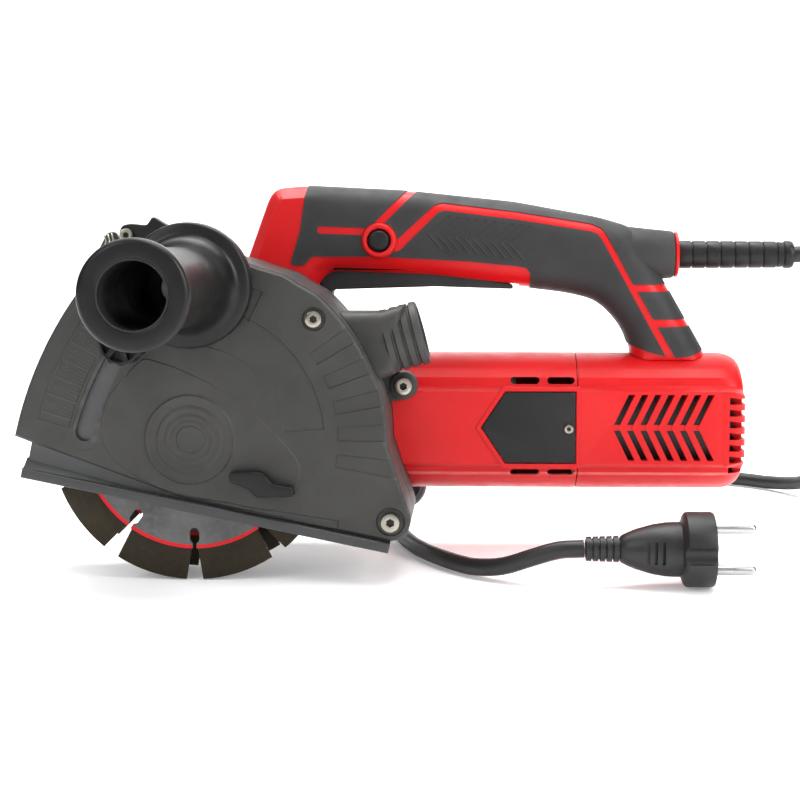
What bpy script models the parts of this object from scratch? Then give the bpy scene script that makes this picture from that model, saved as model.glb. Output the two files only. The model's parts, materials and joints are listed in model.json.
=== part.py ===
"""Wall chaser: a hand-held machine that cuts slots in masonry with two diamond blades.

Lengths are in millimetres in a machine frame and become metres when an object is placed:
u runs rearwards along the motor (+X), y runs from the guard's outer cover to the gear case (+Y),
and h is height (+Z).  The machine frame starts on the spindle axis, in the cover's outer face.
"""
import math

import bpy
import bmesh
from mathutils import Matrix, Vector

MM = 0.001
GAP = 0.3                      # clearance between neighbouring pieces

# Driving dimensions
BLADE_R = 66.5                 # 133 mm diamond blades
BLADE_THICK = 2.2
BLADE_NEAR_Y = 9.0             # near face of the near blade
BLADE_FAR_Y = 37.5
BLADE_BORE_R = 11.3
SEGMENTS = 10
SEGMENT_ROOT_R = 47.0

PIVOT = (91.5, -37.5)          # shoe pivot, in the u-h plane
COVER_THICK = 2.4
GUARD_DEPTH = 60.0
GUARD_WALL = 2.5
GUARD_FRONT_R = 175.6          # front edge of the guard, about the pivot
SHOE_R = 168.5
SOLE_SLOPE = math.radians(11.5)
SOLE_FRONT = (-77.7, -17.6)    # lower front corner of the sole
SOLE_LENGTH = 171.5
SOLE_THICK = 4.6
SOLE_NEAR_Y = -1.5
SOLE_FAR_Y = 59.8
KNOB_R = 145.5                 # depth knob's circle about the pivot
KNOB_ANGLE = 34.5              # degrees above the line to the front, at full depth
SLOT_END_ANGLE = 14.6

MOTOR_Y = 80.0                 # plane of the motor's axis and of the handle
MOTOR_R = 34.0
PANEL_HALF = 17.4              # flat side panels of the motor housing
PANEL_REACH = 33.0
HOUSING_START = 84.0
SEAM = 179.6
HOUSING_END = 260.8
WALL = 2.6

HANDLE_HALF = 17.0
AUX = (2.0, 70.5)              # auxiliary handle's axis
CORD_D = 8.2
FLOOR = -66.5                  # what the machine stands on
PLUG_R = 17.0
PLUG_START = 180.0

# Fasteners, controls and ports, in the u-h plane
COVER_SCREW = (56.9, 55.0)
LATCH = (33.6, -19.6)
LUG = (95.7, 21.1)
LEVER = (-30.1, 92.8)
LEVER_Y = 12.0
TRIGGER_PIN = (55.2, 77.5)
LOCK = (82.3, 90.1)
HANDLE_SCREWS = ((34.0, 100.0), (222.0, 50.0))
GLAND_H = 83.1                 # height of the cord's way out of the handle
BRUSH_U = 161.0
BRUSH_SCREW_U = 175.0
PORT_TILT = math.radians(15)
PORT_MOUTH = (105.3, 47.4)
PORT_Y = 30.0
PORT_R = 15.3
PORT_BORE = 12.6
NECK_R = 24.0                  # spindle neck of the gear case, through the guard

# Bevel gears between the motor and the spindle
GEAR_TEETH = 15
PINION_TEETH = 5
GEAR_PITCH_R = 24.0
PINION_PITCH_R = 8.0
TOOTH_TIP = 0.75
TOOTH_ROOT = 1.2
FACE_INNER = 0.62              # inner end of the teeth, as a share of the pitch cone

ORIGIN = Vector((-104.19, 1.95, 66.403))   # machine frame's zero in the part's frame

PARTS = "wall_chaser"
AXIS_TURN = {"X": (0, math.pi / 2, 0), "Y": (-math.pi / 2, 0, 0), "Z": (0, 0, 0)}
# local x, y, z of a flat outline, as turns: "uh" lies in the u-h plane, "yh" in the y-h plane
PLANE_TURN = {"uh": (math.pi / 2, 0, 0), "yh": (math.pi / 2, 0, math.pi / 2)}


# ---------------------------------------------------------------- scene and materials

def clear_scene():
    for obj in list(bpy.data.objects):
        bpy.data.objects.remove(obj)


def new_collection(name):
    collection = bpy.data.collections.new(name)
    bpy.context.scene.collection.children.link(collection)
    return collection


def material(name, colour, roughness, metallic=0.0):
    finish = bpy.data.materials.new(name)
    finish.use_nodes = True
    shader = finish.node_tree.nodes["Principled BSDF"]
    shader.inputs["Base Color"].default_value = (*colour, 1.0)
    shader.inputs["Roughness"].default_value = roughness
    shader.inputs["Metallic"].default_value = metallic
    finish.diffuse_color = (*colour, 1.0)
    return finish


clear_scene()
parts = new_collection(PARTS)
cutters = new_collection("cutters")

RED = material("red_plastic", (0.65, 0.02, 0.02), 0.35)
GRIP = material("grip_rubber", (0.035, 0.035, 0.036), 0.6)
GUARD = material("guard_coat", (0.075, 0.075, 0.072), 0.6, 0.3)
SOLE = material("sole_steel", (0.2, 0.21, 0.22), 0.4, 0.9)
BLACK = material("black_plastic", (0.02, 0.02, 0.021), 0.45)
ALLOY = material("gear_case_alloy", (0.2, 0.2, 0.21), 0.45, 0.9)
STEEL = material("plain_steel", (0.45, 0.45, 0.46), 0.3, 1.0)
NICKEL = material("nickel_screw", (0.5, 0.46, 0.4), 0.25, 1.0)
BLADE = material("blade_steel", (0.3, 0.3, 0.3), 0.45, 0.9)
COPPER = material("copper", (0.6, 0.25, 0.12), 0.35, 1.0)
CARBON = material("carbon", (0.03, 0.03, 0.03), 0.7)
LAMINATION = material("lamination", (0.25, 0.25, 0.27), 0.5, 0.8)
CORD = material("cord_rubber", (0.012, 0.012, 0.012), 0.55)


# ---------------------------------------------------------------- axes and placing

MACHINE = {"root": Vector((0.0, 0.0, 0.0))}
pivots = {}


def add_axis(name, point):
    """An empty on a joint's axis, which the moving pieces hang from."""
    empty = bpy.data.objects.new(name + "_axis", None)
    empty.empty_display_size = 0.02
    parts.objects.link(empty)
    MACHINE[name] = Vector(point)
    if name == "root":
        empty.location = ORIGIN * MM
    else:
        empty.parent = pivots["root"]
        empty.location = Vector(point) * MM
    pivots[name] = empty


def put(obj, name, body, finish, where, turn=(0, 0, 0), cutter=False):
    """Name an object, hang it from its body's axis and move it to a machine point."""
    obj.name = name
    obj.data.name = name
    obj.data.materials.clear()
    obj.data.materials.append(finish)
    for owner in list(obj.users_collection):
        owner.objects.unlink(obj)
    home = cutters if cutter else parts
    home.objects.link(obj)
    if cutter:
        obj.hide_render = True
        obj.display_type = "WIRE"
    obj.parent = pivots[body]
    obj.location = (Vector(where) - MACHINE[body]) * MM
    obj.rotation_euler = turn
    return obj


def smooth(obj, angle=35):
    obj.data.shade_smooth()
    obj.data.set_sharp_from_angle(angle=math.radians(angle))


# ---------------------------------------------------------------- shapes

def box(name, body, finish, low, high, edge=0.0, cutter=False):
    """A block between two machine corners."""
    bpy.ops.mesh.primitive_cube_add(size=1.0)
    block = bpy.context.active_object
    size = Vector(high) - Vector(low)
    block.data.transform(Matrix.Diagonal((*(size * MM), 1.0)))
    put(block, name, body, finish, (Vector(low) + Vector(high)) / 2, cutter=cutter)
    if edge:
        soften(block, edge)
    return block


def soften(obj, width):
    bevel = obj.modifiers.new("edges", "BEVEL")
    bevel.width = width * MM
    bevel.segments = 1
    bevel.limit_method = "ANGLE"
    bevel.angle_limit = math.radians(40)


def rod(name, body, finish, start, axis, radius, length, sides=24, cutter=False):
    """A round bar from a machine point along an axis."""
    bpy.ops.mesh.primitive_cylinder_add(vertices=sides, radius=radius * MM, depth=length * MM)
    bar = bpy.context.active_object
    step = {"X": Vector((1, 0, 0)), "Y": Vector((0, 1, 0)), "Z": Vector((0, 0, 1))}[axis]
    put(bar, name, body, finish, Vector(start) + step * length / 2, AXIS_TURN[axis], cutter)
    smooth(bar)
    return bar


def turned(name, body, finish, start, axis, outer, inner=(), steps=22, turn=None, cutter=False):
    """A turned piece.  outer and inner hold (radius, distance along the axis), inner from the far
    end back; without inner the piece is solid."""
    points = [(radius, distance) for radius, distance in reversed(outer)]
    points += [(radius, distance) for radius, distance in reversed(inner)]
    if not inner:
        points = [(0.0, outer[-1][1])] + points + [(0.0, outer[0][1])]
    count = len(points)
    edges = [(i, i + 1) for i in range(count - 1)]
    if inner:
        edges.append((count - 1, 0))
    mesh = bpy.data.meshes.new(name)
    mesh.from_pydata([(r * MM, 0.0, d * MM) for r, d in points], edges, [])
    piece = bpy.data.objects.new(name, mesh)
    put(piece, name, body, finish, start, turn or AXIS_TURN[axis], cutter)
    screw = piece.modifiers.new("turn", "SCREW")
    screw.steps = steps
    screw.render_steps = steps
    screw.use_merge_vertices = True
    screw.merge_threshold = 0.00001
    screw.use_smooth_shade = False
    return piece


def outline(name, body, finish, loops, start, end, plane="uh", edge=0.0, cutter=False):
    """Flat closed outlines given depth, from start to end across their plane."""
    flat = bpy.data.curves.new(name + "_outline", "CURVE")
    flat.dimensions = "2D"
    flat.fill_mode = "BOTH"
    flat.extrude = ((end - start) / 2 - edge) * MM
    flat.bevel_depth = edge * MM
    flat.bevel_resolution = 1
    flat.offset = -edge * MM
    for loop in loops:
        spline = flat.splines.new("POLY")
        spline.points.add(len(loop) - 1)
        spline.use_cyclic_u = True
        for point, (across, up) in zip(spline.points, loop):
            point.co = (across * MM, up * MM, 0.0, 1.0)
    drawn = bpy.data.objects.new(name + "_outline", flat)
    cutters.objects.link(drawn)
    bpy.context.view_layer.update()
    depsgraph = bpy.context.evaluated_depsgraph_get()
    mesh = bpy.data.meshes.new_from_object(drawn.evaluated_get(depsgraph))
    work = bmesh.new()
    work.from_mesh(mesh)
    bmesh.ops.remove_doubles(work, verts=work.verts, dist=0.000005)
    bmesh.ops.recalc_face_normals(work, faces=work.faces)
    work.to_mesh(mesh)
    work.free()
    bpy.data.objects.remove(drawn)
    piece = bpy.data.objects.new(name, mesh)
    middle = (start + end) / 2
    where = {"uh": (0, middle, 0), "yh": (middle, 0, 0)}[plane]
    return put(piece, name, body, finish, where, PLANE_TURN[plane], cutter)


def cut(piece, *tools):
    for tool in tools:
        change = piece.modifiers.new("cut", "BOOLEAN")
        change.operation = "DIFFERENCE"
        change.solver = "EXACT"
        change.object = tool
    return piece


def join(piece, *tools):
    for tool in tools:
        change = piece.modifiers.new("join", "BOOLEAN")
        change.operation = "UNION"
        change.solver = "EXACT"
        change.object = tool
    return piece


def arc(centre, radius, first, last, count):
    """Points on a circle, from one angle in degrees to another."""
    points = []
    for index in range(count + 1):
        angle = math.radians(first + (last - first) * index / count)
        points.append((centre[0] + radius * math.cos(angle), centre[1] + radius * math.sin(angle)))
    return points


def circle(centre, radius, count=24):
    return arc(centre, radius, 0, 360 * (count - 1) / count, count - 1)


def about_pivot(radius, angle):
    """A point at an angle above the line from the pivot to the front."""
    turn = math.radians(180 - angle)
    return PIVOT[0] + radius * math.cos(turn), PIVOT[1] + radius * math.sin(turn)


def sole_point(along, above):
    """A point of the sole's own line: along it from its front corner, and above its underside."""
    cos, sin = math.cos(SOLE_SLOPE), math.sin(SOLE_SLOPE)
    return SOLE_FRONT[0] + along * cos + above * sin, SOLE_FRONT[1] - along * sin + above * cos


def screw_piece(name, body, head, axis_start, head_r, head_high, shank_r, shank_long, sign=1):
    """A socket-head screw along Y; head is where the head's outer face lies."""
    across, up = head
    outer = [(head_r - 0.5, 0), (head_r, 0.5), (head_r, head_high),
             (shank_r, head_high), (shank_r, head_high + shank_long)]
    turn = AXIS_TURN["Y"] if sign > 0 else (math.pi / 2, 0, 0)
    piece = turned(name, body, NICKEL, (across, axis_start, up), "Y", outer, steps=10, turn=turn)
    length = head_high * 0.6
    start = axis_start - 0.1 if sign > 0 else axis_start + 0.1 - length
    socket = rod(name + "_socket", body, NICKEL, (across, start, up), "Y", head_r * 0.5,
                 length, sides=6, cutter=True)
    return cut(piece, socket)


# ---------------------------------------------------------------- guard

def guard_loop(inset=0.0):
    """The guard's outline, seen from its cover, drawn in by inset."""
    pivot_out = 9.0 - inset
    front_r = GUARD_FRONT_R - inset
    loop = [about_pivot(front_r, 12.7)]
    loop += [about_pivot(front_r, angle) for angle in (17, 22, 27, 32, 36.5)]
    loop += arc((0, 0), 84.5 - inset, 120, 68, 6)
    loop += arc((0, 0), 88.0 - inset, 49, 24, 3)
    loop += arc((0, 0), 90.0 - inset, 14, -2, 2)
    loop += arc(PIVOT, pivot_out, 14, -100, 6)
    rear = sole_point(165, SOLE_THICK + 0.7 + inset)
    front = sole_point(76, SOLE_THICK + 0.7 + inset)
    loop += [rear, front, (-73.4, -1.5 + inset)]
    return loop


def slot_loop(half_width):
    """The curved slot that the depth knob's stud travels in."""
    steps = 8
    reach = KNOB_ANGLE + 1.6 - SLOT_END_ANGLE
    angles = [SLOT_END_ANGLE + reach * index / steps for index in range(steps + 1)]
    loop = [about_pivot(KNOB_R + half_width, angle) for angle in angles]
    return loop + [about_pivot(KNOB_R - half_width, angle) for angle in reversed(angles)]


def build_outer_cover():
    cover = outline("outer_cover", "root", GUARD,
                    [guard_loop(), slot_loop(4.1), circle(PIVOT, 3.2, 16), circle(AUX, 4.4, 16),
                     circle(COVER_SCREW, 2.2, 12), circle(LATCH, 2.4, 12)],
                    0.0, COVER_THICK)
    return cover


def port_rod(name, radius, length, cutter=True, sides=24, out=0.0):
    """A round bar along the dust port's tilted axis, back from its mouth."""
    bpy.ops.mesh.primitive_cylinder_add(vertices=sides, radius=radius * MM, depth=length * MM)
    bar = bpy.context.active_object
    away = Vector((math.cos(PORT_TILT), 0, math.sin(PORT_TILT)))
    centre = Vector((PORT_MOUTH[0], PORT_Y, PORT_MOUTH[1])) + away * (out - length / 2)
    put(bar, name, "root", GUARD, centre, (0, math.pi / 2 - PORT_TILT, 0), cutter)
    return bar


def build_rear_guard():
    start = COVER_THICK + GAP
    guard = outline("rear_guard", "root", GUARD, [guard_loop()], start, GUARD_DEPTH)
    inside = outline("guard_inside", "root", GUARD, [open_inside()], start - 5,
                     GUARD_DEPTH - GUARD_WALL, cutter=True)
    neck = rod("neck_hole", "root", GUARD, (0, GUARD_DEPTH - 10, 0), "Y", NECK_R + GAP, 20, 32, True)
    pivot_hole = rod("guard_pivot_hole", "root", GUARD, (PIVOT[0], 40, PIVOT[1]), "Y", 3.2, 40, 16, True)
    port = port_rod("guard_port_hole", PORT_BORE - 0.6, 60)
    lug = rod("lug", "root", GUARD, (LUG[0], 36.5, LUG[1]), "Y", 6.6, 9.9, 20, True)
    lug_web = outline("lug_web", "root", GUARD,
                      [[(84, 12), (96, 14.7), (99, 21), (94, 27.5), (80, 33)]], 38.5, 45.5, cutter=True)
    lug_hole = rod("lug_hole", "root", GUARD, (LUG[0], 30, LUG[1]), "Y", 2.4, 30, 12, True)
    boss = rod("cover_boss", "root", GUARD, (COVER_SCREW[0], start, COVER_SCREW[1]), "Y", 5.0, 57, 16, True)
    boss_hole = rod("cover_boss_hole", "root", GUARD, (COVER_SCREW[0], -4, COVER_SCREW[1]), "Y", 1.9,
                    24, 12, True)
    bracket = outline("lever_bracket", "root", GUARD,
                      [[(-52, 60), (-46, 85), (-41.3, 94.1), (-37.5, 94.5), (-34.5, 88.5), (-27, 88.5),
                        (-24, 96), (-20, 92), (-14, 78)]], 20.0, 24.0, cutter=True)
    cut(guard, inside)
    join(guard, boss, lug, lug_web, bracket)
    lever_room = rod("lever_pin_hole", "root", GUARD, (LEVER[0], 0, LEVER[1]), "Y", 1.9, 40, 12, True)
    cut(guard, neck, pivot_hole, port, lug_hole, boss_hole, lever_room)
    return guard


def open_inside():
    """The hollow of the guard, open along its lower edge."""
    inset = GUARD_WALL
    loop = [about_pivot(GUARD_FRONT_R - inset, angle) for angle in (9, 17, 22, 27, 32, 36)]
    loop += arc((0, 0), 84.5 - inset, 120, 68, 6)
    loop += arc((0, 0), 88.0 - inset, 49, 24, 3)
    loop += arc((0, 0), 90.0 - inset, 14, -2, 2)
    loop += arc(PIVOT, 9.0 - inset, 14, -50, 3)
    loop += [(99.0, -60.0), sole_point(-4, -8)]
    return loop


def build_dust_port():
    port = port_rod("dust_port", PORT_R, 46, cutter=False)
    neck = outline("port_neck", "root", GUARD,
                   [[(55, 57.1), (86.4, 57.1), (97, 60.5), (92.8, 28.5), (80, 24), (70, 30)]],
                   PORT_Y - 14, PORT_Y + 14, cutter=True)
    join(port, neck)
    clear = outline("port_clear", "root", GUARD, [guard_loop(-GAP)], -5, GUARD_DEPTH + 5, cutter=True)
    bore = port_rod("port_bore", PORT_BORE, 70, out=5)
    lug_clear = rod("lug_clear", "root", GUARD, (LUG[0], 20, LUG[1]), "Y", 6.6 + GAP, 40, 20, True)
    web_clear = outline("web_clear", "root", GUARD,
                        [[(80, 6), (97, 13), (101, 21), (95, 28.2), (78, 34.6)]], 38.2, 45.8, cutter=True)
    cut(port, clear, lug_clear, web_clear, bore)
    return port


# ---------------------------------------------------------------- shoe

def shoe_wall_loop(top_angle):
    low_front = sole_point(1.2, 0.5)
    loop = [low_front, about_pivot(SHOE_R, 12)]
    loop += [about_pivot(SHOE_R, 12 + (top_angle - 12) * index / 5) for index in range(1, 6)]
    loop.append(about_pivot(KNOB_R - 16, top_angle))
    loop.append(about_pivot(30, 30))
    loop += arc(PIVOT, 6.0, 100, -60, 6)
    loop.append(sole_point(SOLE_LENGTH - 3, 0.5))
    return loop


def build_shoe():
    length, half = SOLE_LENGTH, (SOLE_FAR_Y - SOLE_NEAR_Y) / 2
    centre_y = SOLE_FAR_Y - half
    middle = sole_point(length / 2, SOLE_THICK / 2)
    sole = box("shoe", "shoe", SOLE, (-length / 2, centre_y - half, -SOLE_THICK / 2),
               (length / 2, centre_y + half, SOLE_THICK / 2))
    place = Vector((middle[0], centre_y, middle[1]))
    sole.location = (place - MACHINE["shoe"]) * MM
    sole.rotation_euler = (0, SOLE_SLOPE, 0)
    knob = about_pivot(KNOB_R, KNOB_ANGLE)
    near = COVER_THICK + GAP
    near_wall = outline("shoe_near_wall", "shoe", SOLE, [shoe_wall_loop(38.5), circle(knob, 3.4, 16)],
                        near, near + 2.0, cutter=True)
    far = GUARD_DEPTH - GUARD_WALL - GAP
    far_wall = outline("shoe_far_wall", "shoe", SOLE, [shoe_wall_loop(26)], far - 2.0, far, cutter=True)
    front = outline("shoe_front_wall", "shoe", SOLE,
                    [[sole_point(1.2, 0.5), about_pivot(SHOE_R, 11), about_pivot(SHOE_R - 2, 11),
                      sole_point(3.4, 0.5)]], near + 0.5, far - 0.5, cutter=True)
    blade_slot = box("blade_slot", "shoe", SOLE, (-70, 5.6, -80), (62, 46, 10), cutter=True)
    rear_slot = box("rear_slot", "shoe", SOLE, (78, 6.5, -60), (110, 50.5, -20), cutter=True)
    pivot_hole = rod("shoe_pivot_hole", "shoe", SOLE, (PIVOT[0], -5, PIVOT[1]), "Y", 3.3, 80, 16, True)
    hub_clear = rod("shoe_hub_clear", "shoe", SOLE, (0, 20, 0), "Y", 34, 60, 24, True)
    join(sole, near_wall, far_wall, front)
    return cut(sole, blade_slot, rear_slot, pivot_hole, hub_clear)


def build_knob():
    across, up = about_pivot(KNOB_R, KNOB_ANGLE)
    rim = 10.4
    loop = []
    for index in range(36):
        angle = 2 * math.pi * index / 36
        radius = rim - 0.45 + 0.45 * math.cos(12 * angle)
        loop.append((across + radius * math.cos(angle), up + radius * math.sin(angle)))
    knob = outline("depth_knob", "depth_knob", BLACK, [loop], -12.0, -0.4)
    stud = rod("knob_stud", "depth_knob", BLACK, (across, -5, up), "Y", 2.9, 12.5, 12, True)
    recess = turned("knob_recess", "depth_knob", BLACK, (across, 0, up), "Y",
                    [(8.4, -14), (8.4, -9.5)], [(4.4, -9.5), (4.4, -14)], steps=18, cutter=True)
    join(knob, stud)
    return cut(knob, recess)


# ---------------------------------------------------------------- blades and drive

def blade_loop(turn):
    """Outline of a segmented blade: wedge-shaped gaps between ten segments."""
    loop = []
    pitch = 360 / SEGMENTS
    outer_gap = math.degrees(3.6 / BLADE_R)
    root_gap = math.degrees(1.6 / SEGMENT_ROOT_R)
    for index in range(SEGMENTS):
        start = -90 + turn + index * pitch
        loop += arc((0, 0), BLADE_R, start + outer_gap, start + pitch - outer_gap, 4)
        loop += arc((0, 0), SEGMENT_ROOT_R, start + pitch - root_gap, start + pitch + root_gap, 1)
    return loop


def build_blade(name, near, turn):
    return outline(name, "spindle", BLADE, [blade_loop(turn), circle((0, 0), BLADE_BORE_R, 24)],
                   near, near + BLADE_THICK)


def build_spindle():
    turned("spindle", "spindle", STEEL, (0, 0, 0), "Y",
           [(5.0, 6.4), (5.0, 42.0), (7.9, 42.1), (7.9, 70.0), (6.0, 70.1), (6.0, 104.0)], steps=24)
    far_blade_back = BLADE_FAR_Y + BLADE_THICK
    turned("inner_flange", "spindle", STEEL, (0, 0, 0), "Y",
           [(11.0, BLADE_FAR_Y - 1.0), (11.0, far_blade_back + GAP), (19.0, far_blade_back + GAP),
            (19.0, far_blade_back + 4), (12, far_blade_back + 7), (12, 54.0)],
           [(8.2, 54.0), (8.2, 41.8), (5.3, 41.7), (5.3, BLADE_FAR_Y - 1.0)], steps=20)
    turned("blade_spacer", "spindle", STEEL, (0, 0, 0), "Y",
           [(15.0, BLADE_NEAR_Y + BLADE_THICK + GAP), (15.0, BLADE_FAR_Y - GAP)],
           [(5.3 + 6.2, BLADE_FAR_Y - GAP), (5.3 + 6.2, BLADE_FAR_Y - 4), (5.3, BLADE_FAR_Y - 4),
            (5.3, BLADE_NEAR_Y + BLADE_THICK + 2), (11.5, BLADE_NEAR_Y + BLADE_THICK + 2),
            (11.5, BLADE_NEAR_Y + BLADE_THICK + GAP)], steps=20)
    turned("outer_flange", "spindle", STEEL, (0, 0, 0), "Y",
           [(15.0, 5.4), (17.0, 6.0), (17.0, BLADE_NEAR_Y - GAP), (11.0, BLADE_NEAR_Y - GAP),
            (11.0, BLADE_NEAR_Y + BLADE_THICK + 1.4)],
           [(5.3, BLADE_NEAR_Y + BLADE_THICK + 1.4), (5.3, 5.4)], steps=20)


def tooth_angles(teeth, width, offset=0.0):
    """Angles of root, flank, tip, tip, flank for each tooth, with the tip's share of the pitch."""
    marks = []
    for index in range(teeth):
        middle = (index + offset) / teeth
        for part, high in ((-width, False), (-width * 0.55, True), (width * 0.55, True), (width, False)):
            marks.append((2 * math.pi * (middle + part / teeth), high))
    return marks


def loft(name, body, finish, loops, where, closed=False):
    """Skin between loops of equal count; capped at both ends, or closed into a ring."""
    mesh = bpy.data.meshes.new(name)
    work = bmesh.new()
    rings = [[work.verts.new(Vector(point) * MM) for point in loop] for loop in loops]
    count = len(loops[0])
    pairs = list(zip(rings, rings[1:]))
    if closed:
        pairs.append((rings[-1], rings[0]))
    for first, second in pairs:
        for index in range(count):
            after = (index + 1) % count
            work.faces.new((first[index], first[after], second[after], second[index]))
    if not closed:
        work.faces.new(rings[0])
        work.faces.new(list(reversed(rings[-1])))
    bmesh.ops.recalc_face_normals(work, faces=work.faces)
    work.to_mesh(mesh)
    work.free()
    piece = bpy.data.objects.new(name, mesh)
    return put(piece, name, body, finish, where)


def build_driven_gear():
    """A bevel gear on the spindle whose teeth face the motor's axis."""
    marks = tooth_angles(GEAR_TEETH, 0.21)

    def ring(share, level):
        points = []
        for angle, high in marks:
            radius = GEAR_PITCH_R * share
            face = MOTOR_Y - PINION_PITCH_R * share
            depth = face + (TOOTH_TIP if high else -TOOTH_ROOT) if level is None else level
            points.append((radius * math.cos(angle), depth, radius * math.sin(angle)))
        return points

    def plain(radius, depth):
        return [(radius * math.cos(angle), depth, radius * math.sin(angle)) for angle, _ in marks]

    loops = [plain(8.2, 65.5), plain(20.0, 65.5), plain(24.0, 68.0), ring(1.0, None),
             ring(FACE_INNER, None), plain(8.2, 71.5)]
    loft("driven_gear", "spindle", STEEL, loops, (0, 0, 0), closed=True)


def build_pinion():
    """The bevel pinion on the motor shaft."""
    marks = tooth_angles(PINION_TEETH, 0.2)

    def ring(share, along):
        points = []
        for angle, high in marks:
            radius = PINION_PITCH_R * share + (TOOTH_TIP if high else -TOOTH_ROOT)
            points.append((along, MOTOR_Y + radius * math.cos(angle), radius * math.sin(angle)))
        return points

    def plain(radius, along):
        return [(along, MOTOR_Y + radius * math.cos(angle), radius * math.sin(angle)) for angle, _ in marks]

    inner = GEAR_PITCH_R * FACE_INNER
    loops = [plain(3.3, inner), ring(FACE_INNER, inner), ring(1.0, GEAR_PITCH_R), plain(6.2, 27.5),
             plain(3.3, 27.5)]
    loft("drive_pinion", "armature", STEEL, loops, (0, 0, 0), closed=True)


def build_armature():
    turned("armature_shaft", "armature", STEEL, (0, MOTOR_Y, 0), "X",
           [(3.0, 13.0), (3.0, 30.0), (5.0, 30.1), (5.0, 203.0)], steps=20)
    turned("armature_core", "armature", LAMINATION, (0, MOTOR_Y, 0), "X",
           [(12, 112), (15.5, 116), (17.6, 116.1), (17.6, 146), (15.5, 146.1), (12, 150)],
           [(5.3, 150), (5.3, 112)], steps=24)
    turned("commutator", "armature", COPPER, (0, MOTOR_Y, 0), "X",
           [(13.5, 151), (13.5, 153), (11.0, 153.1), (11.0, 171)], [(5.3, 171), (5.3, 151)], steps=24)
    fan = turned("cooling_fan", "armature", BLACK, (0, MOTOR_Y, 0), "X",
                 [(28.5, 107.5), (28.5, 109.0), (8.5, 109.1), (8.5, 111.4)],
                 [(5.3, 111.4), (5.3, 98.5), (8.5, 98.5), (8.5, 107.5)], steps=24)
    for index in range(7):
        blade = box("fan_blade_%d" % (index + 1), "armature", BLACK, (98.8, -0.8, -20), (108.0, 0.8, 0),
                    cutter=True)
        angle = 2 * math.pi * index / 7
        blade.rotation_euler = (angle, 0, 0)
        offset = Vector((103.4, MOTOR_Y, 0)) + Vector((0, -math.sin(angle), math.cos(angle))) * 18.0
        blade.location = (offset - MACHINE["armature"]) * MM
        join(fan, blade)


def bearing(name, where, axis, outer_r, inner_r, width):
    turned(name, "root", STEEL, where, axis,
           [(outer_r, 0), (outer_r, width)], [(inner_r, width), (inner_r, 0)], steps=20)


def build_gear_case():
    start, end = GUARD_DEPTH + GAP, 111.0
    case = rod("gear_case", "root", ALLOY, (0, start, 0), "Y", 37.0, end - start, 28)
    neck_in = rod("spindle_neck", "root", ALLOY, (0, 57.6, 0), "Y", NECK_R - GAP, 10, 32, True)
    barrel = outline("case_barrel", "root", ALLOY, [housing_loop(0.0)], 0, HOUSING_START - GAP, "yh",
                     cutter=True)
    above = box("case_above_guard", "root", ALLOY, (-60, 20, -60), (120, start, 60), cutter=True)
    cut(case, above)
    cut(barrel, above)
    join(case, barrel, neck_in)
    hollow = rod("case_hollow", "root", ALLOY, (0, 64.6, 0), "Y", 29.5, 37, 20, True)
    far_bore = rod("far_bearing_bore", "root", ALLOY, (0, 90, 0), "Y", 11.3, 17.8, 24, True)
    neck_bore = rod("spindle_bore", "root", ALLOY, (0, 50, 0), "Y", 14.3, 20, 24, True)
    shaft_bore = rod("shaft_bore", "root", ALLOY, (20, MOTOR_Y, 0), "X", 11.3, 70, 24, True)
    fan_room = rod("fan_room", "root", ALLOY, (60, MOTOR_Y, 0), "X", 18.5, 40, 24, True)
    return cut(case, hollow, far_bore, neck_bore, shaft_bore, fan_room)


# ---------------------------------------------------------------- motor housing

def housing_loop(inset):
    """Cross-section of the housing: a round body with a raised flat panel on each side."""
    radius = MOTOR_R - inset
    half = PANEL_HALF
    reach = PANEL_REACH - inset
    rim = math.degrees(math.asin((half + 1.6) / radius))
    loop = arc((MOTOR_Y, 0), radius, rim, 180 - rim, 8)
    loop += [(MOTOR_Y - reach, half), (MOTOR_Y - reach, -half)]
    loop += arc((MOTOR_Y, 0), radius, 180 + rim, 360 - rim, 8)
    loop += [(MOTOR_Y + reach, -half), (MOTOR_Y + reach, half)]
    return loop


def hex_loop(grow):
    """The brush cover: a plate with a pointed front end."""
    half = 17.2 + grow
    return [(132.9 - grow * 1.2, 0), (144.4 - grow * 0.5, half), (178.2 + grow, half),
            (178.2 + grow, -half), (144.4 - grow * 0.5, -half)]


def build_motor_housing():
    housing = outline("motor_housing", "root", RED,
                      [housing_loop(0), circle((MOTOR_Y, 0), MOTOR_R - WALL, 24)],
                      HOUSING_START, SEAM - GAP, "yh")
    for side in (-1, 1):
        outside = MOTOR_Y + side * PANEL_REACH
        low, high = sorted((outside - side * 1.8, outside + side * 3))
        pocket = outline("brush_pocket_%d" % side, "root", RED, [hex_loop(GAP)], low, high, cutter=True)
        low, high = sorted((outside - side * 12, outside + side * 3))
        window = box("brush_window_%d" % side, "root", RED, (BRUSH_U - 9, low, -7.4),
                     (BRUSH_U + 9, high, 7.4), cutter=True)
        tapped = rod("brush_tap_%d" % side, "root", RED, (BRUSH_SCREW_U, low, -0.5), "Y", 1.3, 15, 10, True)
        cut(housing, pocket, window, tapped)
        for row in (1, -1):
            for first, last in ((147.0, 161.0), (165.0, 178.0)):
                vent = box("air_slot_%d_%d_%d" % (side, row, first), "root", RED,
                           (first, min(outside, MOTOR_Y + side * 20), row * 22.4 - 1.7),
                           (last, max(outside, MOTOR_Y + side * 20), row * 22.4 + 1.7), cutter=True)
                cut(housing, vent)
    lug_tap = rod("lug_tap", "root", RED, (LUG[0], 40, LUG[1]), "Y", 2.1, 16, 12, True)
    guard_room = outline("guard_room", "root", RED, [guard_loop(-GAP)], -5, GUARD_DEPTH + GAP, cutter=True)
    return cut(housing, lug_tap, guard_room)


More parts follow.
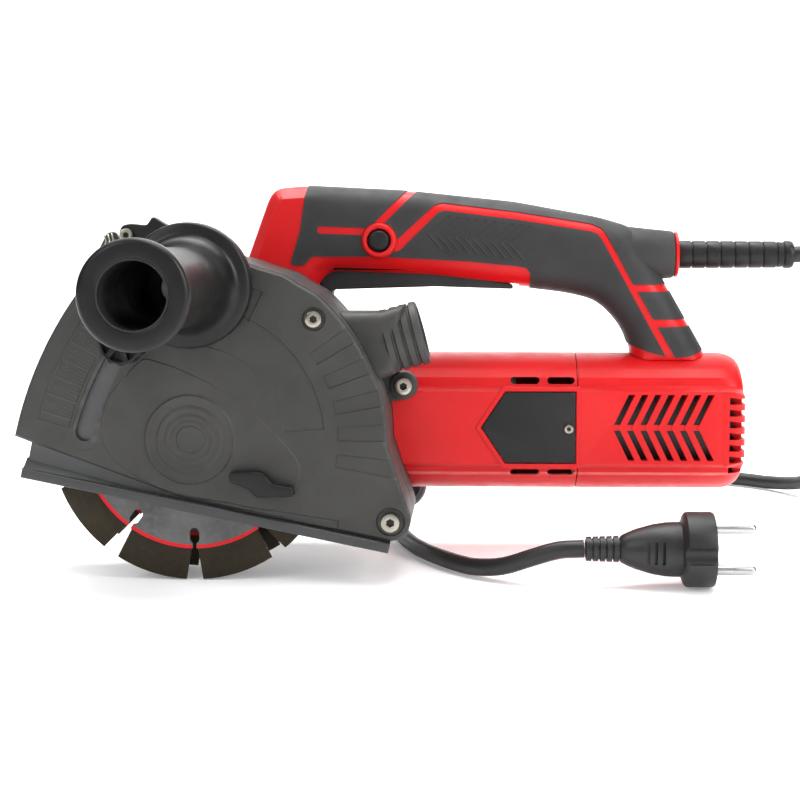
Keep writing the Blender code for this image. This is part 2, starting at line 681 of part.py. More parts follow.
def build_brush_gear(side):
    """Brush, holder, cover and cover screw on one side of the commutator."""
    name = "near" if side < 0 else "far"
    outside = MOTOR_Y + side * PANEL_REACH
    low, high = sorted((outside - side * 1.5, outside + side * 0.5))
    cover = outline("brush_cover_" + name, "root", BLACK, [hex_loop(0)], low, high)
    hole = rod("brush_cover_hole_" + name, "root", BLACK, (BRUSH_SCREW_U, low - 3, -0.5), "Y", 1.6, 10,
               10, True)
    cut(cover, hole)
    inner, outer = MOTOR_Y + side * 13.2, outside - side * 2.4
    low, high = sorted((inner, outer))
    holder = box("brush_holder_" + name, "root", STEEL, (BRUSH_U - 5.4, low, -6.4),
                 (BRUSH_U + 5.4, high, 6.4))
    inside = box("brush_bore_" + name, "root", STEEL, (BRUSH_U - 4.3, low - 5, -5.3),
                 (BRUSH_U + 4.3, high + 5, 5.3), cutter=True)
    cut(holder, inside)
    low, high = sorted((MOTOR_Y + side * 11.4, MOTOR_Y + side * 27.0))
    box("carbon_brush_" + name, "root", CARBON, (BRUSH_U - 4.0, low, -5.0), (BRUSH_U + 4.0, high, 5.0), 0.4)
    head_face = outside + side * 1.9
    screw_piece("brush_cover_screw_" + name, "root", (BRUSH_SCREW_U, -0.5), head_face, 2.3, 1.2, 1.0, 5.0,
                sign=-side)


def build_rear_cover():
    cover = outline("rear_cover", "root", RED, [housing_loop(0)], SEAM, HOUSING_END, "yh")
    hollow = rod("rear_hollow", "root", RED, (SEAM - 5, MOTOR_Y, 0), "X", MOTOR_R - WALL,
                 HOUSING_END - SEAM + 5 - WALL, 24, True)
    cut(cover, hollow)
    for side in (-1, 1):
        edge_y = MOTOR_Y + side * 24
        low, high = sorted((edge_y, MOTOR_Y + side * (PANEL_REACH + 2)))
        for index in range(7):
            cut(cover, chevron(side, index, low, high))
    return cover


def chevron(side, index, low, high):
    """One arrow-shaped vent: two sloping arms that meet at a forward point."""
    front = 195.8 + 6.35 * index
    reach, half, width = 7.6, 15.6, 3.2
    loop = [(front, 0), (front + reach, half), (front + reach + width, half), (front + width, 0),
            (front + reach + width, -half), (front + reach, -half)]
    return outline("chevron_%d_%d" % (side, index), "root", RED, [loop], low, high, cutter=True)


def build_motor_inside():
    turned("stator", "root", LAMINATION, (0, MOTOR_Y, 0), "X",
           [(26, 113), (30.8, 116), (30.8, 147), (26, 150)],
           [(19.5, 150), (18.5, 147), (18.5, 116), (19.5, 113)], steps=26)
    spider = turned("bearing_bracket", "root", BLACK, (0, MOTOR_Y, 0), "X",
                    [(31.0, 186), (31.0, 190.5), (14, 190.6), (14, 202)],
                    [(11.4, 202), (11.4, 190), (7.5, 190), (7.5, 186)], steps=24)
    for index in range(4):
        angle = 2 * math.pi * index / 4
        hole = rod("bracket_hole_%d" % (index + 1), "root", BLACK,
                   (180, MOTOR_Y + 22.5 * math.cos(angle), 22.5 * math.sin(angle)), "X", 5.5, 20, 8, True)
        cut(spider, hole)
    bearing("rear_bearing", (190.4, MOTOR_Y, 0), "X", 11.1, 5.3, 9)
    bearing("front_bearing", (44.0, MOTOR_Y, 0), "X", 11.0, 5.3, 9)
    bearing("spindle_bearing", (0, 55.0, 0), "Y", 14.0, 8.2, 9)
    bearing("spindle_tail_bearing", (0, 94.5, 0), "Y", 11.0, 6.3, 8)
    box("soft_start_module", "root", BLACK, (214, MOTOR_Y - 17, -13), (244, MOTOR_Y + 17, 13), 1.0)


# ---------------------------------------------------------------- handle

def handle_loop():
    """The D-shaped handle: front post, grip and rear leg, as one outline."""
    loop = [(4, 28), (8, 52), (14.7, 78), (27, 112), (31, 116.2)]
    loop += [(45, 117.2), (95, 114.7), (149.1, 109), (190, 101.5), (207, 96.6), (214.8, 84.0), (224.8, 67.2)]
    loop += [(243.7, 34.2), (247, 24), (205, 24), (207.6, 34.5), (203, 47), (195.6, 56), (188.1, 61.5)]
    loop += [(175, 64.6), (158, 66.7), (107, 72.4), (57.8, 74.0), (53.0, 68.8), (49.5, 62), (40.5, 48)]
    loop.append((37, 28))
    return loop


def build_handle():
    """Both halves of the handle's shell, split in the motor's plane."""
    for side, name in ((-1, "handle_near"), (1, "handle_far")):
        half = outline(name, "root", RED, [handle_loop()], MOTOR_Y - HANDLE_HALF + 1.5,
                       MOTOR_Y + HANDLE_HALF - 1.5, edge=4.0)
        gland = turned("gland_" + name, "root", RED, (0, MOTOR_Y, GLAND_H), "X",
                       [(15.0, 196), (13.0, 215), (11.5, 228.2)], steps=24, cutter=True)
        join(half, gland)
        low, high = sorted((MOTOR_Y - side * 60, MOTOR_Y + side * GAP / 2))
        other = box("split_" + name, "root", RED, (-20, low, 0), (300, high, 140), cutter=True)
        motor = outline("seat_" + name, "root", RED, [housing_loop(-GAP)], 0, 300, "yh", cutter=True)
        case = rod("case_seat_" + name, "root", RED, (0, 40, 0), "Y", 37.0 + GAP, 90, 28, True)
        bay = box("switch_bay_" + name, "root", RED, (59, MOTOR_Y - 10.5, 75.5), (108, MOTOR_Y + 10.5, 106),
                  cutter=True)
        slot = box("trigger_slot_" + name, "root", RED, (50.9, MOTOR_Y - 7.0, 50),
                   (151, MOTOR_Y + 7.0, 81.5), cutter=True)
        canal = rod("cord_canal_" + name, "root", RED, (190, MOTOR_Y, GLAND_H), "X", 4.7, 60, 18, True)
        pin = rod("trigger_pin_hole_" + name, "root", RED,
                  (TRIGGER_PIN[0], MOTOR_Y - 12, TRIGGER_PIN[1]), "Y", 2.0, 24, 12, True)
        cut(half, canal, other, motor, case, bay, slot, pin)
        if side < 0:
            button = rod("lock_hole", "root", RED, (LOCK[0], 50, LOCK[1]), "Y", 5.2 + GAP, 24, 20, True)
            cut(half, button)
        for index, point in enumerate(HANDLE_SCREWS):
            hole = rod("handle_hole_%s_%d" % (name, index + 1), "root", RED,
                       (point[0], 66, point[1]), "Y", 1.5, 40, 10, True)
            seat = rod("handle_seat_%s_%d" % (name, index + 1), "root", RED,
                       (point[0], 92.5, point[1]), "Y", 3.4, 12, 14, True)
            cut(half, hole, seat)


def build_grip_pads():
    """The soft grip's side panels, one on each side of the handle."""
    top = [(50, 113), (95, 110.8), (149.1, 105), (190, 97.5), (203, 93)]
    low = [(196, 62), (176, 68.6), (158, 71), (107, 76.5), (60, 79), (52, 84), (44, 92), (46, 108)]
    for side, name in ((-1, "grip_pad_near"), (1, "grip_pad_far")):
        inner = MOTOR_Y + side * (HANDLE_HALF - 1.5 + GAP)
        low_y, high_y = sorted((inner, MOTOR_Y + side * HANDLE_HALF))
        pad = outline(name, "root", GRIP, [top + low], low_y, high_y)
        if side < 0:
            hole = rod("pad_lock_hole", "root", GRIP, (LOCK[0], 50, LOCK[1]), "Y", 5.2 + GAP, 24, 20, True)
            cut(pad, hole)


def build_controls():
    box("power_switch", "root", BLACK, (62, MOTOR_Y - 9.5, 82.2), (106, MOTOR_Y + 9.5, 104), 0.8)
    paddle = [(53.2, 81.0), (52.2, 76), (51.6, 61.5), (57.2, 59.4), (58.6, 65.6), (110, 67.2), (148.4, 66.0),
              (148.4, 68.2), (112, 76.2), (58.4, 78.8), (57.2, 81.0)]
    trigger = outline("trigger", "trigger", BLACK, [paddle], MOTOR_Y - 6.6, MOTOR_Y + 6.6)
    pin = rod("trigger_pin", "trigger", BLACK, (TRIGGER_PIN[0], MOTOR_Y - 11.5, TRIGGER_PIN[1]), "Y",
              1.7, 23, 12, True)
    join(trigger, pin)
    turned("lock_button", "lock_button", BLACK, (LOCK[0], 0, LOCK[1]), "Y",
           [(4.4, 60.8), (5.2, 61.6), (5.2, 66.6)], steps=24)
    for index, point in enumerate(HANDLE_SCREWS):
        screw_piece("handle_screw_%d" % (index + 1), "root", point, 95.2, 2.8, 2.2, 1.2, 22.0, sign=-1)


def build_cord_guard():
    turned("gland_ring", "root", RED, (0, MOTOR_Y, GLAND_H), "X",
           [(11.3, 228.5), (11.3, 230.4)], [(4.4, 230.4), (4.4, 228.5)], steps=24)
    outer = []
    rings = 4
    pitch = 13.0
    for index in range(rings):
        start = 230.7 + pitch * index
        outer += [(7.0 - 0.08 * index, start), (7.0 - 0.08 * index, start + pitch - 3.2),
                  (6.1, start + pitch - 3.0), (6.1, start + pitch - 0.2)]
    outer += [(6.9, 283.2), (6.9, 286.4), (6.2, 287.6)]
    turned("strain_relief", "root", BLACK, (0, MOTOR_Y, GLAND_H), "X", outer, steps=14)


# ---------------------------------------------------------------- front handle, roller, levers

def build_aux_handle():
    turned("aux_handle", "root", GRIP, (AUX[0], 0, AUX[1]), "Y",
           [(18.6, -119.0), (21.2, -117.6), (21.7, -114.0), (20.6, -109.0), (18.4, -98.0), (18.4, -38.0),
            (22.0, -20.5), (28.2, -8.5), (28.2, -4.0), (14.0, -4.0), (14.0, -GAP)],
           [(4.4, -GAP), (4.4, -30.0), (13.8, -30.0), (13.8, -119.0)], steps=26)
    turned("aux_handle_bolt", "root", STEEL, (AUX[0], 0, AUX[1]), "Y",
           [(6.4, -35.6), (6.9, -35.1), (6.9, -30.3), (3.9, -30.3), (3.9, 8.2)], steps=24)


def build_pivot_and_roller():
    screw_piece("pivot_bolt", "root", PIVOT, -4.4, 4.3, 4.1, 2.9, 115.4)
    turned("support_roller", "roller", BLACK, (PIVOT[0], 0, PIVOT[1]), "Y",
           [(12.0, 103.6), (12.7, 104.4), (12.7, 112.6), (12.0, 113.4)],
           [(3.3, 113.4), (3.3, 103.6)], steps=24)


def build_screws():
    screw_piece("cover_screw", "root", COVER_SCREW, -2.6, 3.8, 2.3, 1.6, 14.0)
    screw_piece("lug_screw", "root", LUG, 33.0, 4.1, 3.2, 1.8, 16.0)


def build_release_lever():
    lever = [(-33.4, 90.4), (-34.0, 94.0), (-32.4, 97.4), (-28.6, 98.2), (-21.0, 97.4), (-18.4, 101.6),
             (-12.6, 98.0), (-6.0, 94.8), (-5.0, 91.2), (-12.0, 90.6), (-27.2, 90.2)]
    outline("release_lever", "release_lever", BLACK, [lever, circle(LEVER, 1.9, 12)], LEVER_Y, LEVER_Y + 7.2)
    screw_piece("lever_screw", "root", LEVER, LEVER_Y - 2.5, 3.1, 2.2, 1.6, 11.5)
    build_lever_spring()


def build_lever_spring():
    """A small helical spring between the bracket and the lever."""
    turns, per_turn = 3, 8
    wire = bpy.data.curves.new("lever_spring_wire", "CURVE")
    wire.dimensions = "3D"
    wire.bevel_depth = 0.35 * MM
    wire.bevel_resolution = 1
    wire.use_fill_caps = True
    spline = wire.splines.new("POLY")
    spline.points.add(turns * per_turn)
    for index in range(turns * per_turn + 1):
        angle = 2 * math.pi * index / per_turn
        point = Vector((1.9 * math.cos(angle), 1.9 * math.sin(angle), 1.7 * index / per_turn)) * MM
        spline.points[index].co = (*point, 1.0)
    drawn = bpy.data.objects.new("lever_spring", wire)
    put(drawn, "lever_spring", "root", NICKEL, (-41.4, 14.5, 90.6), (0, math.radians(74), 0))


def build_latch():
    loop = [(18.7, -14.2), (31.5, -13.6), (34.6, -14.6), (38.7, -19.4), (48.0, -20.9), (48.2, -25.2),
            (31.0, -25.8), (27.4, -21.6), (18.7, -18.6)]
    lever = outline("cover_latch", "cover_latch", BLACK, [loop], -6.4, -0.4)
    pin = rod("latch_pin", "cover_latch", BLACK, (LATCH[0], -2, LATCH[1]), "Y", 2.0, 4.4, 16, True)
    return join(lever, pin)


# ---------------------------------------------------------------- mains cord

CORD_LOW = FLOOR + CORD_D / 2 + GAP
COIL = (5.0, 235.0)            # centre of the coil, behind the guard
COIL_PITCH = 8.6
COIL_OUTER = 55.6              # outermost and innermost turns
COIL_INNER = COIL_OUTER - 2 * COIL_PITCH
COIL_TOP = CORD_LOW + COIL_PITCH
COIL_MEET = 36.0               # where both free stretches meet the coil's ring
PLUG_LEVEL = PLUG_R + FLOOR + GAP
RUN_ROUTE = [(288.2, MOTOR_Y, GLAND_H), (300, MOTOR_Y, 82.9), (316, 83, 76), (327, 91, 60), (333, 108, 34),
             (336, 135, 4), (338, 168, -24), (336, 202, -44), (328, 236, -57), (311, 266, CORD_LOW),
             (285, 285, CORD_LOW), (252, 293, CORD_LOW), (215, 295.5, CORD_LOW), (175, 296, CORD_LOW),
             (135, 295.4, CORD_LOW), (98, 293.6, CORD_LOW), (64, 291.6, CORD_LOW),
             (COIL_MEET, COIL[1] + COIL_OUTER, CORD_LOW)]
LEAD_ROUTE = [(COIL_MEET, COIL[1] - COIL_OUTER, COIL_TOP), (52, 178.4, -56), (66, 173, -60.6),
              (78, 160, CORD_LOW), (85, 139, CORD_LOW), (89, 113, CORD_LOW), (94, 86, CORD_LOW),
              (102, 61, CORD_LOW), (113, 40, CORD_LOW), (127, 21, CORD_LOW), (142, 8.6, -59.4),
              (156, 2, -53.8), (168, 0, -49.9), (179.4, 0, PLUG_LEVEL)]


def smooth_route(points, spacing):
    """Points a set distance apart on a smooth curve through the given points."""
    knots = [Vector(point) for point in points]
    knots = [knots[0] * 2 - knots[1]] + knots + [knots[-1] * 2 - knots[-2]]
    fine = []
    for a, b, c, d in zip(knots, knots[1:], knots[2:], knots[3:]):
        for step in range(20):
            t = step / 20
            fine.append(0.5 * ((2 * b) + (c - a) * t + (2 * a - 5 * b + 4 * c - d) * t ** 2
                               + (3 * b - a - 3 * c + d) * t ** 3))
    fine.append(knots[-2])
    total = sum((q - p).length for p, q in zip(fine, fine[1:]))
    count = round(total / spacing)
    picked, walked, target = [fine[0]], 0.0, total / count
    for p, q in zip(fine, fine[1:]):
        walked += (q - p).length
        if walked >= target * len(picked) and len(picked) < count:
            picked.append(q)
    picked.append(fine[-1])
    return [Vector((point.x, point.y, max(point.z, CORD_LOW))) for point in picked]


def cord_tube(name, route):
    points = smooth_route(route, 20.0)
    line = bpy.data.curves.new(name, "CURVE")
    line.dimensions = "3D"
    line.bevel_depth = CORD_D / 2 * MM
    line.bevel_resolution = 2
    line.use_fill_caps = True
    spline = line.splines.new("POLY")
    spline.points.add(len(points) - 1)
    for knot, point in zip(spline.points, points):
        knot.co = (*(point * MM), 1.0)
    tube = bpy.data.objects.new(name, line)
    return put(tube, name, "root", CORD, (0, 0, 0))


def build_cord():
    cord_tube("cord_run", RUN_ROUTE)
    cord_tube("cord_lead", LEAD_ROUTE)
    half = CORD_D / 2
    low, high = FLOOR + GAP, FLOOR + GAP + 2 * CORD_D + GAP
    ring = turned("cord_coil", "root", CORD, (COIL[0], COIL[1], 0), "Z",
                  [(COIL_OUTER + half, low), (COIL_OUTER + half, high)],
                  [(COIL_INNER - half, high), (COIL_INNER - half, low)], steps=24)
    return ring


def build_plug():
    level = PLUG_LEVEL
    sleeve = [(5.6, 0), (6.0, 15.0)]
    body = [(7.6, 19.0), (11.2, 30.0), (12.4, 38.0), (12.4, 44.0), (PLUG_R, 44.3), (PLUG_R, 58.0)]
    turned("plug_body", "root", CORD, (PLUG_START, 0, level), "X", sleeve + body, steps=22)
    plug = parts.objects["plug_body"]
    for side in (-1, 1):
        notch = rod("plug_notch_%d" % side, "root", CORD, (PLUG_START + 40, side * 18.2, level), "X", 3.0,
                    30, 10, True)
        cut(plug, notch)
        pin = turned("plug_pin_%d" % side, "root", NICKEL, (PLUG_START, 0, level + side * 9.5), "X",
                     [(2.4, 46.3), (2.4, 75.2), (1.4, 77.2)], steps=12, cutter=True)
        join(plug, pin)


# ---------------------------------------------------------------- build

def build_all():
    add_axis("root", (0, 0, 0))
    add_axis("spindle", (0, 40, 0))
    add_axis("armature", (100, MOTOR_Y, 0))
    add_axis("shoe", (PIVOT[0], 30, PIVOT[1]))
    knob = about_pivot(KNOB_R, KNOB_ANGLE)
    add_axis("depth_knob", (knob[0], 0, knob[1]))
    add_axis("roller", (PIVOT[0], 108.5, PIVOT[1]))
    add_axis("trigger", (TRIGGER_PIN[0], MOTOR_Y, TRIGGER_PIN[1]))
    add_axis("lock_button", (LOCK[0], 63, LOCK[1]))
    add_axis("cover_latch", (LATCH[0], 0, LATCH[1]))
    add_axis("release_lever", (LEVER[0], LEVER_Y, LEVER[1]))
    build_outer_cover()
    build_rear_guard()
    build_dust_port()
    build_shoe()
    build_knob()
    build_blade("blade_near", BLADE_NEAR_Y, 0.0)
    build_blade("blade_far", BLADE_FAR_Y, 0.0)
    build_spindle()
    build_driven_gear()
    build_pinion()
    build_armature()
    build_gear_case()
    build_motor_housing()
    build_brush_gear(-1)
    build_brush_gear(1)
    build_rear_cover()
    build_motor_inside()
    build_handle()
    build_grip_pads()
    build_controls()
    build_cord_guard()
    build_aux_handle()
    build_pivot_and_roller()
    build_screws()
    build_release_lever()
    build_latch()
    build_cord()
    build_plug()


build_all()
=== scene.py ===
"""The finished look of a wall chaser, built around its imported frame.

Shapes are drawn in machine millimetres and moved into the frame at the end: u runs rearwards
along the motor (+X), y from the guard's cover to the gear case (+Y), h upwards (+Z), and the
zero is on the spindle's axis, in the cover's outer face.
"""
import json
import math

import bmesh
import bpy
import numpy as np
from mathutils import Matrix, Vector
from mathutils.geometry import delaunay_2d_cdt


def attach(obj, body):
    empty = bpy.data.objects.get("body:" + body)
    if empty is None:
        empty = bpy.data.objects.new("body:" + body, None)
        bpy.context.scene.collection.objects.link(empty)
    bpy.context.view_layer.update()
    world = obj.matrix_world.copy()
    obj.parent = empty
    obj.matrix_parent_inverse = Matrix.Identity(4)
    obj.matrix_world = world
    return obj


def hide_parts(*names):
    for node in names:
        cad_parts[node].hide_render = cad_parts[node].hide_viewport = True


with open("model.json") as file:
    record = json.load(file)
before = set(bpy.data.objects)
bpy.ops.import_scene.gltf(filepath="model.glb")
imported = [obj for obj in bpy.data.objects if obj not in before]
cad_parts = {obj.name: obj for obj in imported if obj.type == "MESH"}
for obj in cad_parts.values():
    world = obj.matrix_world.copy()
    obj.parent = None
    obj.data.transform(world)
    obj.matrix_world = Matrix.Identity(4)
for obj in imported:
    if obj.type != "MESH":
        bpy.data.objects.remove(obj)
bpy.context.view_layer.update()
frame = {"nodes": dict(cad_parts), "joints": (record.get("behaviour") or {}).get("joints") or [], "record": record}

MM = 0.001
SPINDLE_Y = 40.0                       # where the spindle's joint lies along its axis
spindle = next(joint for joint in frame["joints"] if joint["name"] == "spindle_spin")
ZERO = Vector(spindle["pos_m"]) / MM - Vector((0, SPINDLE_Y, 0))
TO_FRAME = Matrix.Scale(MM, 4) @ Matrix.Translation(ZERO)

# Driving dimensions in millimetres; the blades, shoe, knob and housing have the frame's own
BLADE_R = 66.5
RIM_R = 52.0                           # outer edge of a blade's core
PAINT_R = 50.3                         # inner edge of the painted ring
SEGMENTS = 10
PIVOT = (91.5, -37.5)                  # what the shoe swings about
COVER_THICK = 2.4
GUARD_DEPTH = 60.0
GUARD_WALL = 2.5
GUARD_FRONT_R = 176.4                  # about the pivot, a touch prouder than the frame's guard
SHOE_R = 168.5
SOLE_SLOPE = math.radians(11.5)
SOLE_FRONT = (-77.7, -17.6)
SOLE_LENGTH = 171.5
SOLE_THICK = 4.6
SOLE_NEAR_Y, SOLE_FAR_Y = -1.5, 59.8
KNOB_R = 145.5                         # the knob's and its slot's distance from the pivot
KNOB_ANGLE = 34.5                      # where the knob stands at rest
SLOT_END_ANGLE = 14.6
MOTOR_Y = 80.0                         # the motor's axis, and the middle of the handle
MOTOR_R = 34.0
PANEL_REACH = 33.0                     # from the motor's axis to the housing's flat panels
HOUSING_START = 84.0
SEAM = 179.6                           # where the rear cover meets the housing
HOUSING_END = 260.8
WALL = 2.6
GRIP_HALF = 15.5
# Spots (u, h) of the front handle, screws and levers
AUX = (2.0, 70.5)
COVER_SCREW = (56.9, 55.0)
LATCH = (33.6, -19.6)
LUG = (95.7, 21.1)
LEVER = (-30.1, 92.8)
LOCK = (82.3, 90.1)
BRUSH_SCREW = (175.0, -0.5)
HANDLE_SCREWS = ((34.0, 100.0), (222.0, 50.0))
GLAND_H = 83.1
PORT_TILT = math.radians(15)
PORT_MOUTH = (105.3, 47.4)
PORT_Y = 30.0
CORD_D = 8.2
FLOOR = -66.5                          # the floor's level under the blades
GAP = 0.3                              # clearance between neighbours


# ---------------------------------------------------------------- flat outlines

def arc(centre, radius, first, last, count):
    """Points on a circle, from one angle in degrees to another."""
    turns = [math.radians(first + (last - first) * index / count) for index in range(count + 1)]
    return [(centre[0] + radius * math.cos(a), centre[1] + radius * math.sin(a)) for a in turns]


def circle(centre, radius, count=48):
    """A closed circle, its last point short of its first."""
    return arc(centre, radius, 0, 360 * (count - 1) / count, count - 1)


def about_pivot(radius, angle):
    """A point at an angle above the line from the shoe's pivot to the front."""
    turn = math.radians(180 - angle)
    return PIVOT[0] + radius * math.cos(turn), PIVOT[1] + radius * math.sin(turn)


def pivot_arc(radius, first, last):
    """Points on a circle about the shoe's pivot."""
    return [about_pivot(radius, first + (last - first) * index / 24) for index in range(25)]


def pivot_band(inner, outer, first, last):
    return pivot_arc(outer, first, last) + pivot_arc(inner, last, first)


def spindle_band(inner, outer, first, last, count=24):
    return arc((0, 0), outer, first, last, count) + arc((0, 0), inner, last, first, count)


def sole_point(along, above):
    """A point along the sole from its front corner, and above its underside."""
    cos, sin = math.cos(SOLE_SLOPE), math.sin(SOLE_SLOPE)
    return SOLE_FRONT[0] + along * cos + above * sin, SOLE_FRONT[1] - along * sin + above * cos


def fillet(loop, radius, steps=4):
    """A closed outline with its corners rounded."""
    rounded = []
    for before, here, after in zip(loop[-1:] + loop[:-1], loop, loop[1:] + loop[:1]):
        a, p, b = Vector(before), Vector(here), Vector(after)
        start = p + (a - p).normalized() * min(radius, (a - p).length * 0.45)
        end = p + (b - p).normalized() * min(radius, (b - p).length * 0.45)
        for index in range(steps + 1):
            t = index / steps
            rounded.append(tuple(start * (1 - t) ** 2 + p * 2 * t * (1 - t) + end * t * t))
    return rounded


def capsule(start, end, half, count=8):
    """A round-ended bar between two points."""
    a, b = Vector(start), Vector(end)
    heading = math.degrees(math.atan2(b.y - a.y, b.x - a.x))
    return (arc(end, half, heading - 90, heading + 90, count)
            + arc(start, half, heading + 90, heading + 270, count))


def resample(loop, spacing):
    """Points about a spacing apart along a closed outline, its corners kept."""
    points = []
    for a, b in zip(loop, loop[1:] + loop[:1]):
        a, b = Vector(a), Vector(b)
        count = max(1, round((b - a).length / spacing))
        points += [tuple(a.lerp(b, index / count)) for index in range(count)]
    return points


def inside(points, loop):
    """Which points lie inside a closed outline."""
    x, y = points[:, 0], points[:, 1]
    result = np.zeros(len(points), bool)
    for (x1, y1), (x2, y2) in zip(loop, loop[1:] + loop[:1]):
        if y1 == y2:
            continue
        crosses = (y1 > y) != (y2 > y)
        result ^= crosses & (x < (x2 - x1) * (y - y1) / (y2 - y1) + x1)
    return result


def distance_to(points, loop):
    """How far each point lies from a closed outline."""
    nearest = np.full(len(points), 1e9)
    for a, b in zip(loop, loop[1:] + loop[:1]):
        a, b = np.array(a), np.array(b)
        along = b - a
        share = np.clip((points - a) @ along / max(along @ along, 1e-12), 0, 1)
        gap = points - a - share[:, None] * along
        nearest = np.minimum(nearest, np.hypot(gap[:, 0], gap[:, 1]))
    return nearest


def step_up(value):
    value = np.clip(value, 0, 1)
    return value * value * (3 - 2 * value)


# ---------------------------------------------------------------- meshes

def mesh_of(verts, faces):
    mesh = bpy.data.meshes.new("work")
    mesh.from_pydata([tuple(v) for v in verts], [], faces)
    return mesh


def outward(mesh, weld=0.0):
    """A mesh with its near points welded and its faces pointing out."""
    work = bmesh.new()
    work.from_mesh(mesh)
    if weld:
        bmesh.ops.remove_doubles(work, verts=work.verts, dist=weld)
    bmesh.ops.recalc_face_normals(work, faces=work.faces)
    work.to_mesh(mesh)
    work.free()
    return mesh


def at(spot, y):
    """The point of a spot (u, h) at a level y."""
    return spot[0], y, spot[1]


def placed(name, data):
    """A new object in the scene."""
    obj = bpy.data.objects.new(name, data)
    bpy.context.scene.collection.objects.link(obj)
    return obj


MOST_PAIRS = 4e7                       # pairs of points that are still measured one by one
FAR_AWAY = 9.0


def flat_net(loop, lines, spacing, rings):
    """Triangles over a closed outline, with points along its edge, along closed lines and in rings."""
    edge = resample(loop, spacing)
    points, edges = [], []

    for line in [edge] + [resample(line, spacing) for line in lines]:
        first = len(points)
        points.extend(line)
        edges.extend((first + index, first + index + 1) for index in range(len(line) - 1))
        edges.append((len(points) - 1, first))
    drawn = np.array(points)
    border = np.array(edge)
    tangent = np.roll(border, -1, 0) - np.roll(border, 1, 0)
    normal = np.stack([-tangent[:, 1], tangent[:, 0]], 1)
    normal /= np.linalg.norm(normal, axis=1)[:, None]
    if not inside(border[:1] + normal[:1] * 0.05, edge)[0]:
        normal = -normal
    extra = [border + normal * depth for depth in rings]
    extra = [ring[distance_to(ring, edge) > depth * 0.97] for ring, depth in zip(extra, rings)]
    low, high = border.min(0), border.max(0)
    across, up = np.meshgrid(np.arange(low[0], high[0], spacing), np.arange(low[1], high[1], spacing))
    grid = np.stack([across.ravel(), up.ravel()], 1)
    extra.append(grid[distance_to(grid, edge) > rings[-1] + spacing * 0.5])
    extra = np.concatenate(extra)
    extra = extra[inside(extra, edge)]
    gap = np.full(len(extra), FAR_AWAY)
    if len(extra) * len(drawn) < MOST_PAIRS:
        away = extra[:, None] - drawn[None]
        gap = np.min(np.hypot(away[..., 0], away[..., 1]), 1)
    points += [tuple(point) for point in extra[gap > 0.25 * spacing]]
    found = delaunay_2d_cdt([Vector(point) for point in points], edges, [], 0, 1e-4)
    flat = np.array([tuple(point) for point in found[0]])
    faces = np.array([face for face in found[2] if len(face) == 3])
    faces = faces[inside(flat[faces].mean(1), edge)]
    used, index = np.unique(faces, return_inverse=True)
    return flat[used], index.reshape(-1, 3), edge


def slab(flat, faces, near, far):
    """A closed body between two faces over the same triangles: near faces -Y."""
    count = len(flat)
    verts = np.concatenate([np.stack([flat[:, 0], level, flat[:, 1]], 1) for level in (near, far)])
    sides = {(a, b) for face in faces.tolist() for a, b in zip(face, face[1:] + face[:1])}
    walls = [(b, a, a + count, b + count) for a, b in sides if (b, a) not in sides]
    polygons = faces.tolist() + [[c + count, b + count, a + count] for a, b, c in faces.tolist()]
    return verts, polygons, walls


def turned(centre, axis, profile, steps=64, closed=False):
    """A turned body: profile holds (radius, distance along the axis) points."""
    verts, faces = [], []
    count = len(profile)
    for radius, along in profile:
        for index in range(steps):
            angle = 2 * math.pi * index / steps
            a, b = radius * math.cos(angle), radius * math.sin(angle)
            spot = {"X": (along, a, b), "Y": (b, along, a), "Z": (a, b, along)}[axis]
            verts.append(Vector(spot) + Vector(centre))
    pairs = [(i, i + 1) for i in range(count - 1)] + ([(count - 1, 0)] if closed else [])
    for i, j in pairs:
        for index in range(steps):
            after = (index + 1) % steps
            faces.append((i * steps + index, i * steps + after, j * steps + after, j * steps + index))
    if not closed:
        faces.append(tuple(range(steps - 1, -1, -1)))
        faces.append(tuple((count - 1) * steps + index for index in range(steps)))
    return outward(mesh_of(verts, faces))


def rod(start, axis, radius, length, steps=48, edge=0.0):
    profile = [(radius, 0), (radius, length)]
    if edge:
        corner = [(radius - edge, 0), (radius - edge * 0.3, edge * 0.3), (radius, edge)]
        profile = corner + [(reach, length - along) for reach, along in reversed(corner)]
    return turned(start, axis, profile, steps)


def outline(loops, start, end, plane="uh", edge=0.0, rounds=3):
    """Closed outlines given depth across their plane, with their edges rounded."""
    flat = bpy.data.curves.new("work", "CURVE")
    flat.dimensions = "2D"
    flat.fill_mode = "BOTH"
    flat.extrude = (end - start) / 2 - edge
    flat.bevel_depth = edge
    flat.bevel_resolution = rounds
    flat.offset = -edge
    for loop in loops:
        spline = flat.splines.new("POLY")
        spline.points.add(len(loop) - 1)
        spline.use_cyclic_u = True
        for point, (across, up) in zip(spline.points, loop):
            point.co = (across, up, 0.0, 1.0)
    mesh = outward(evaluated(placed("work", flat)), weld=0.004)
    middle = (start + end) / 2
    if plane == "uh":
        mesh.transform(Matrix.Translation((0, middle, 0)) @ Matrix.Rotation(math.pi / 2, 4, "X"))
    else:
        turn = Matrix.Rotation(math.pi / 2, 4, "Z") @ Matrix.Rotation(math.pi / 2, 4, "X")
        mesh.transform(Matrix.Translation((middle, 0, 0)) @ turn)
    return mesh


def block(low, high, edge=0.0):
    """A block between two corners, with rounded upright edges."""
    loop = [(low[0], low[2]), (high[0], low[2]), (high[0], high[2]), (low[0], high[2])]
    return outline([loop], low[1], high[1], edge=edge)


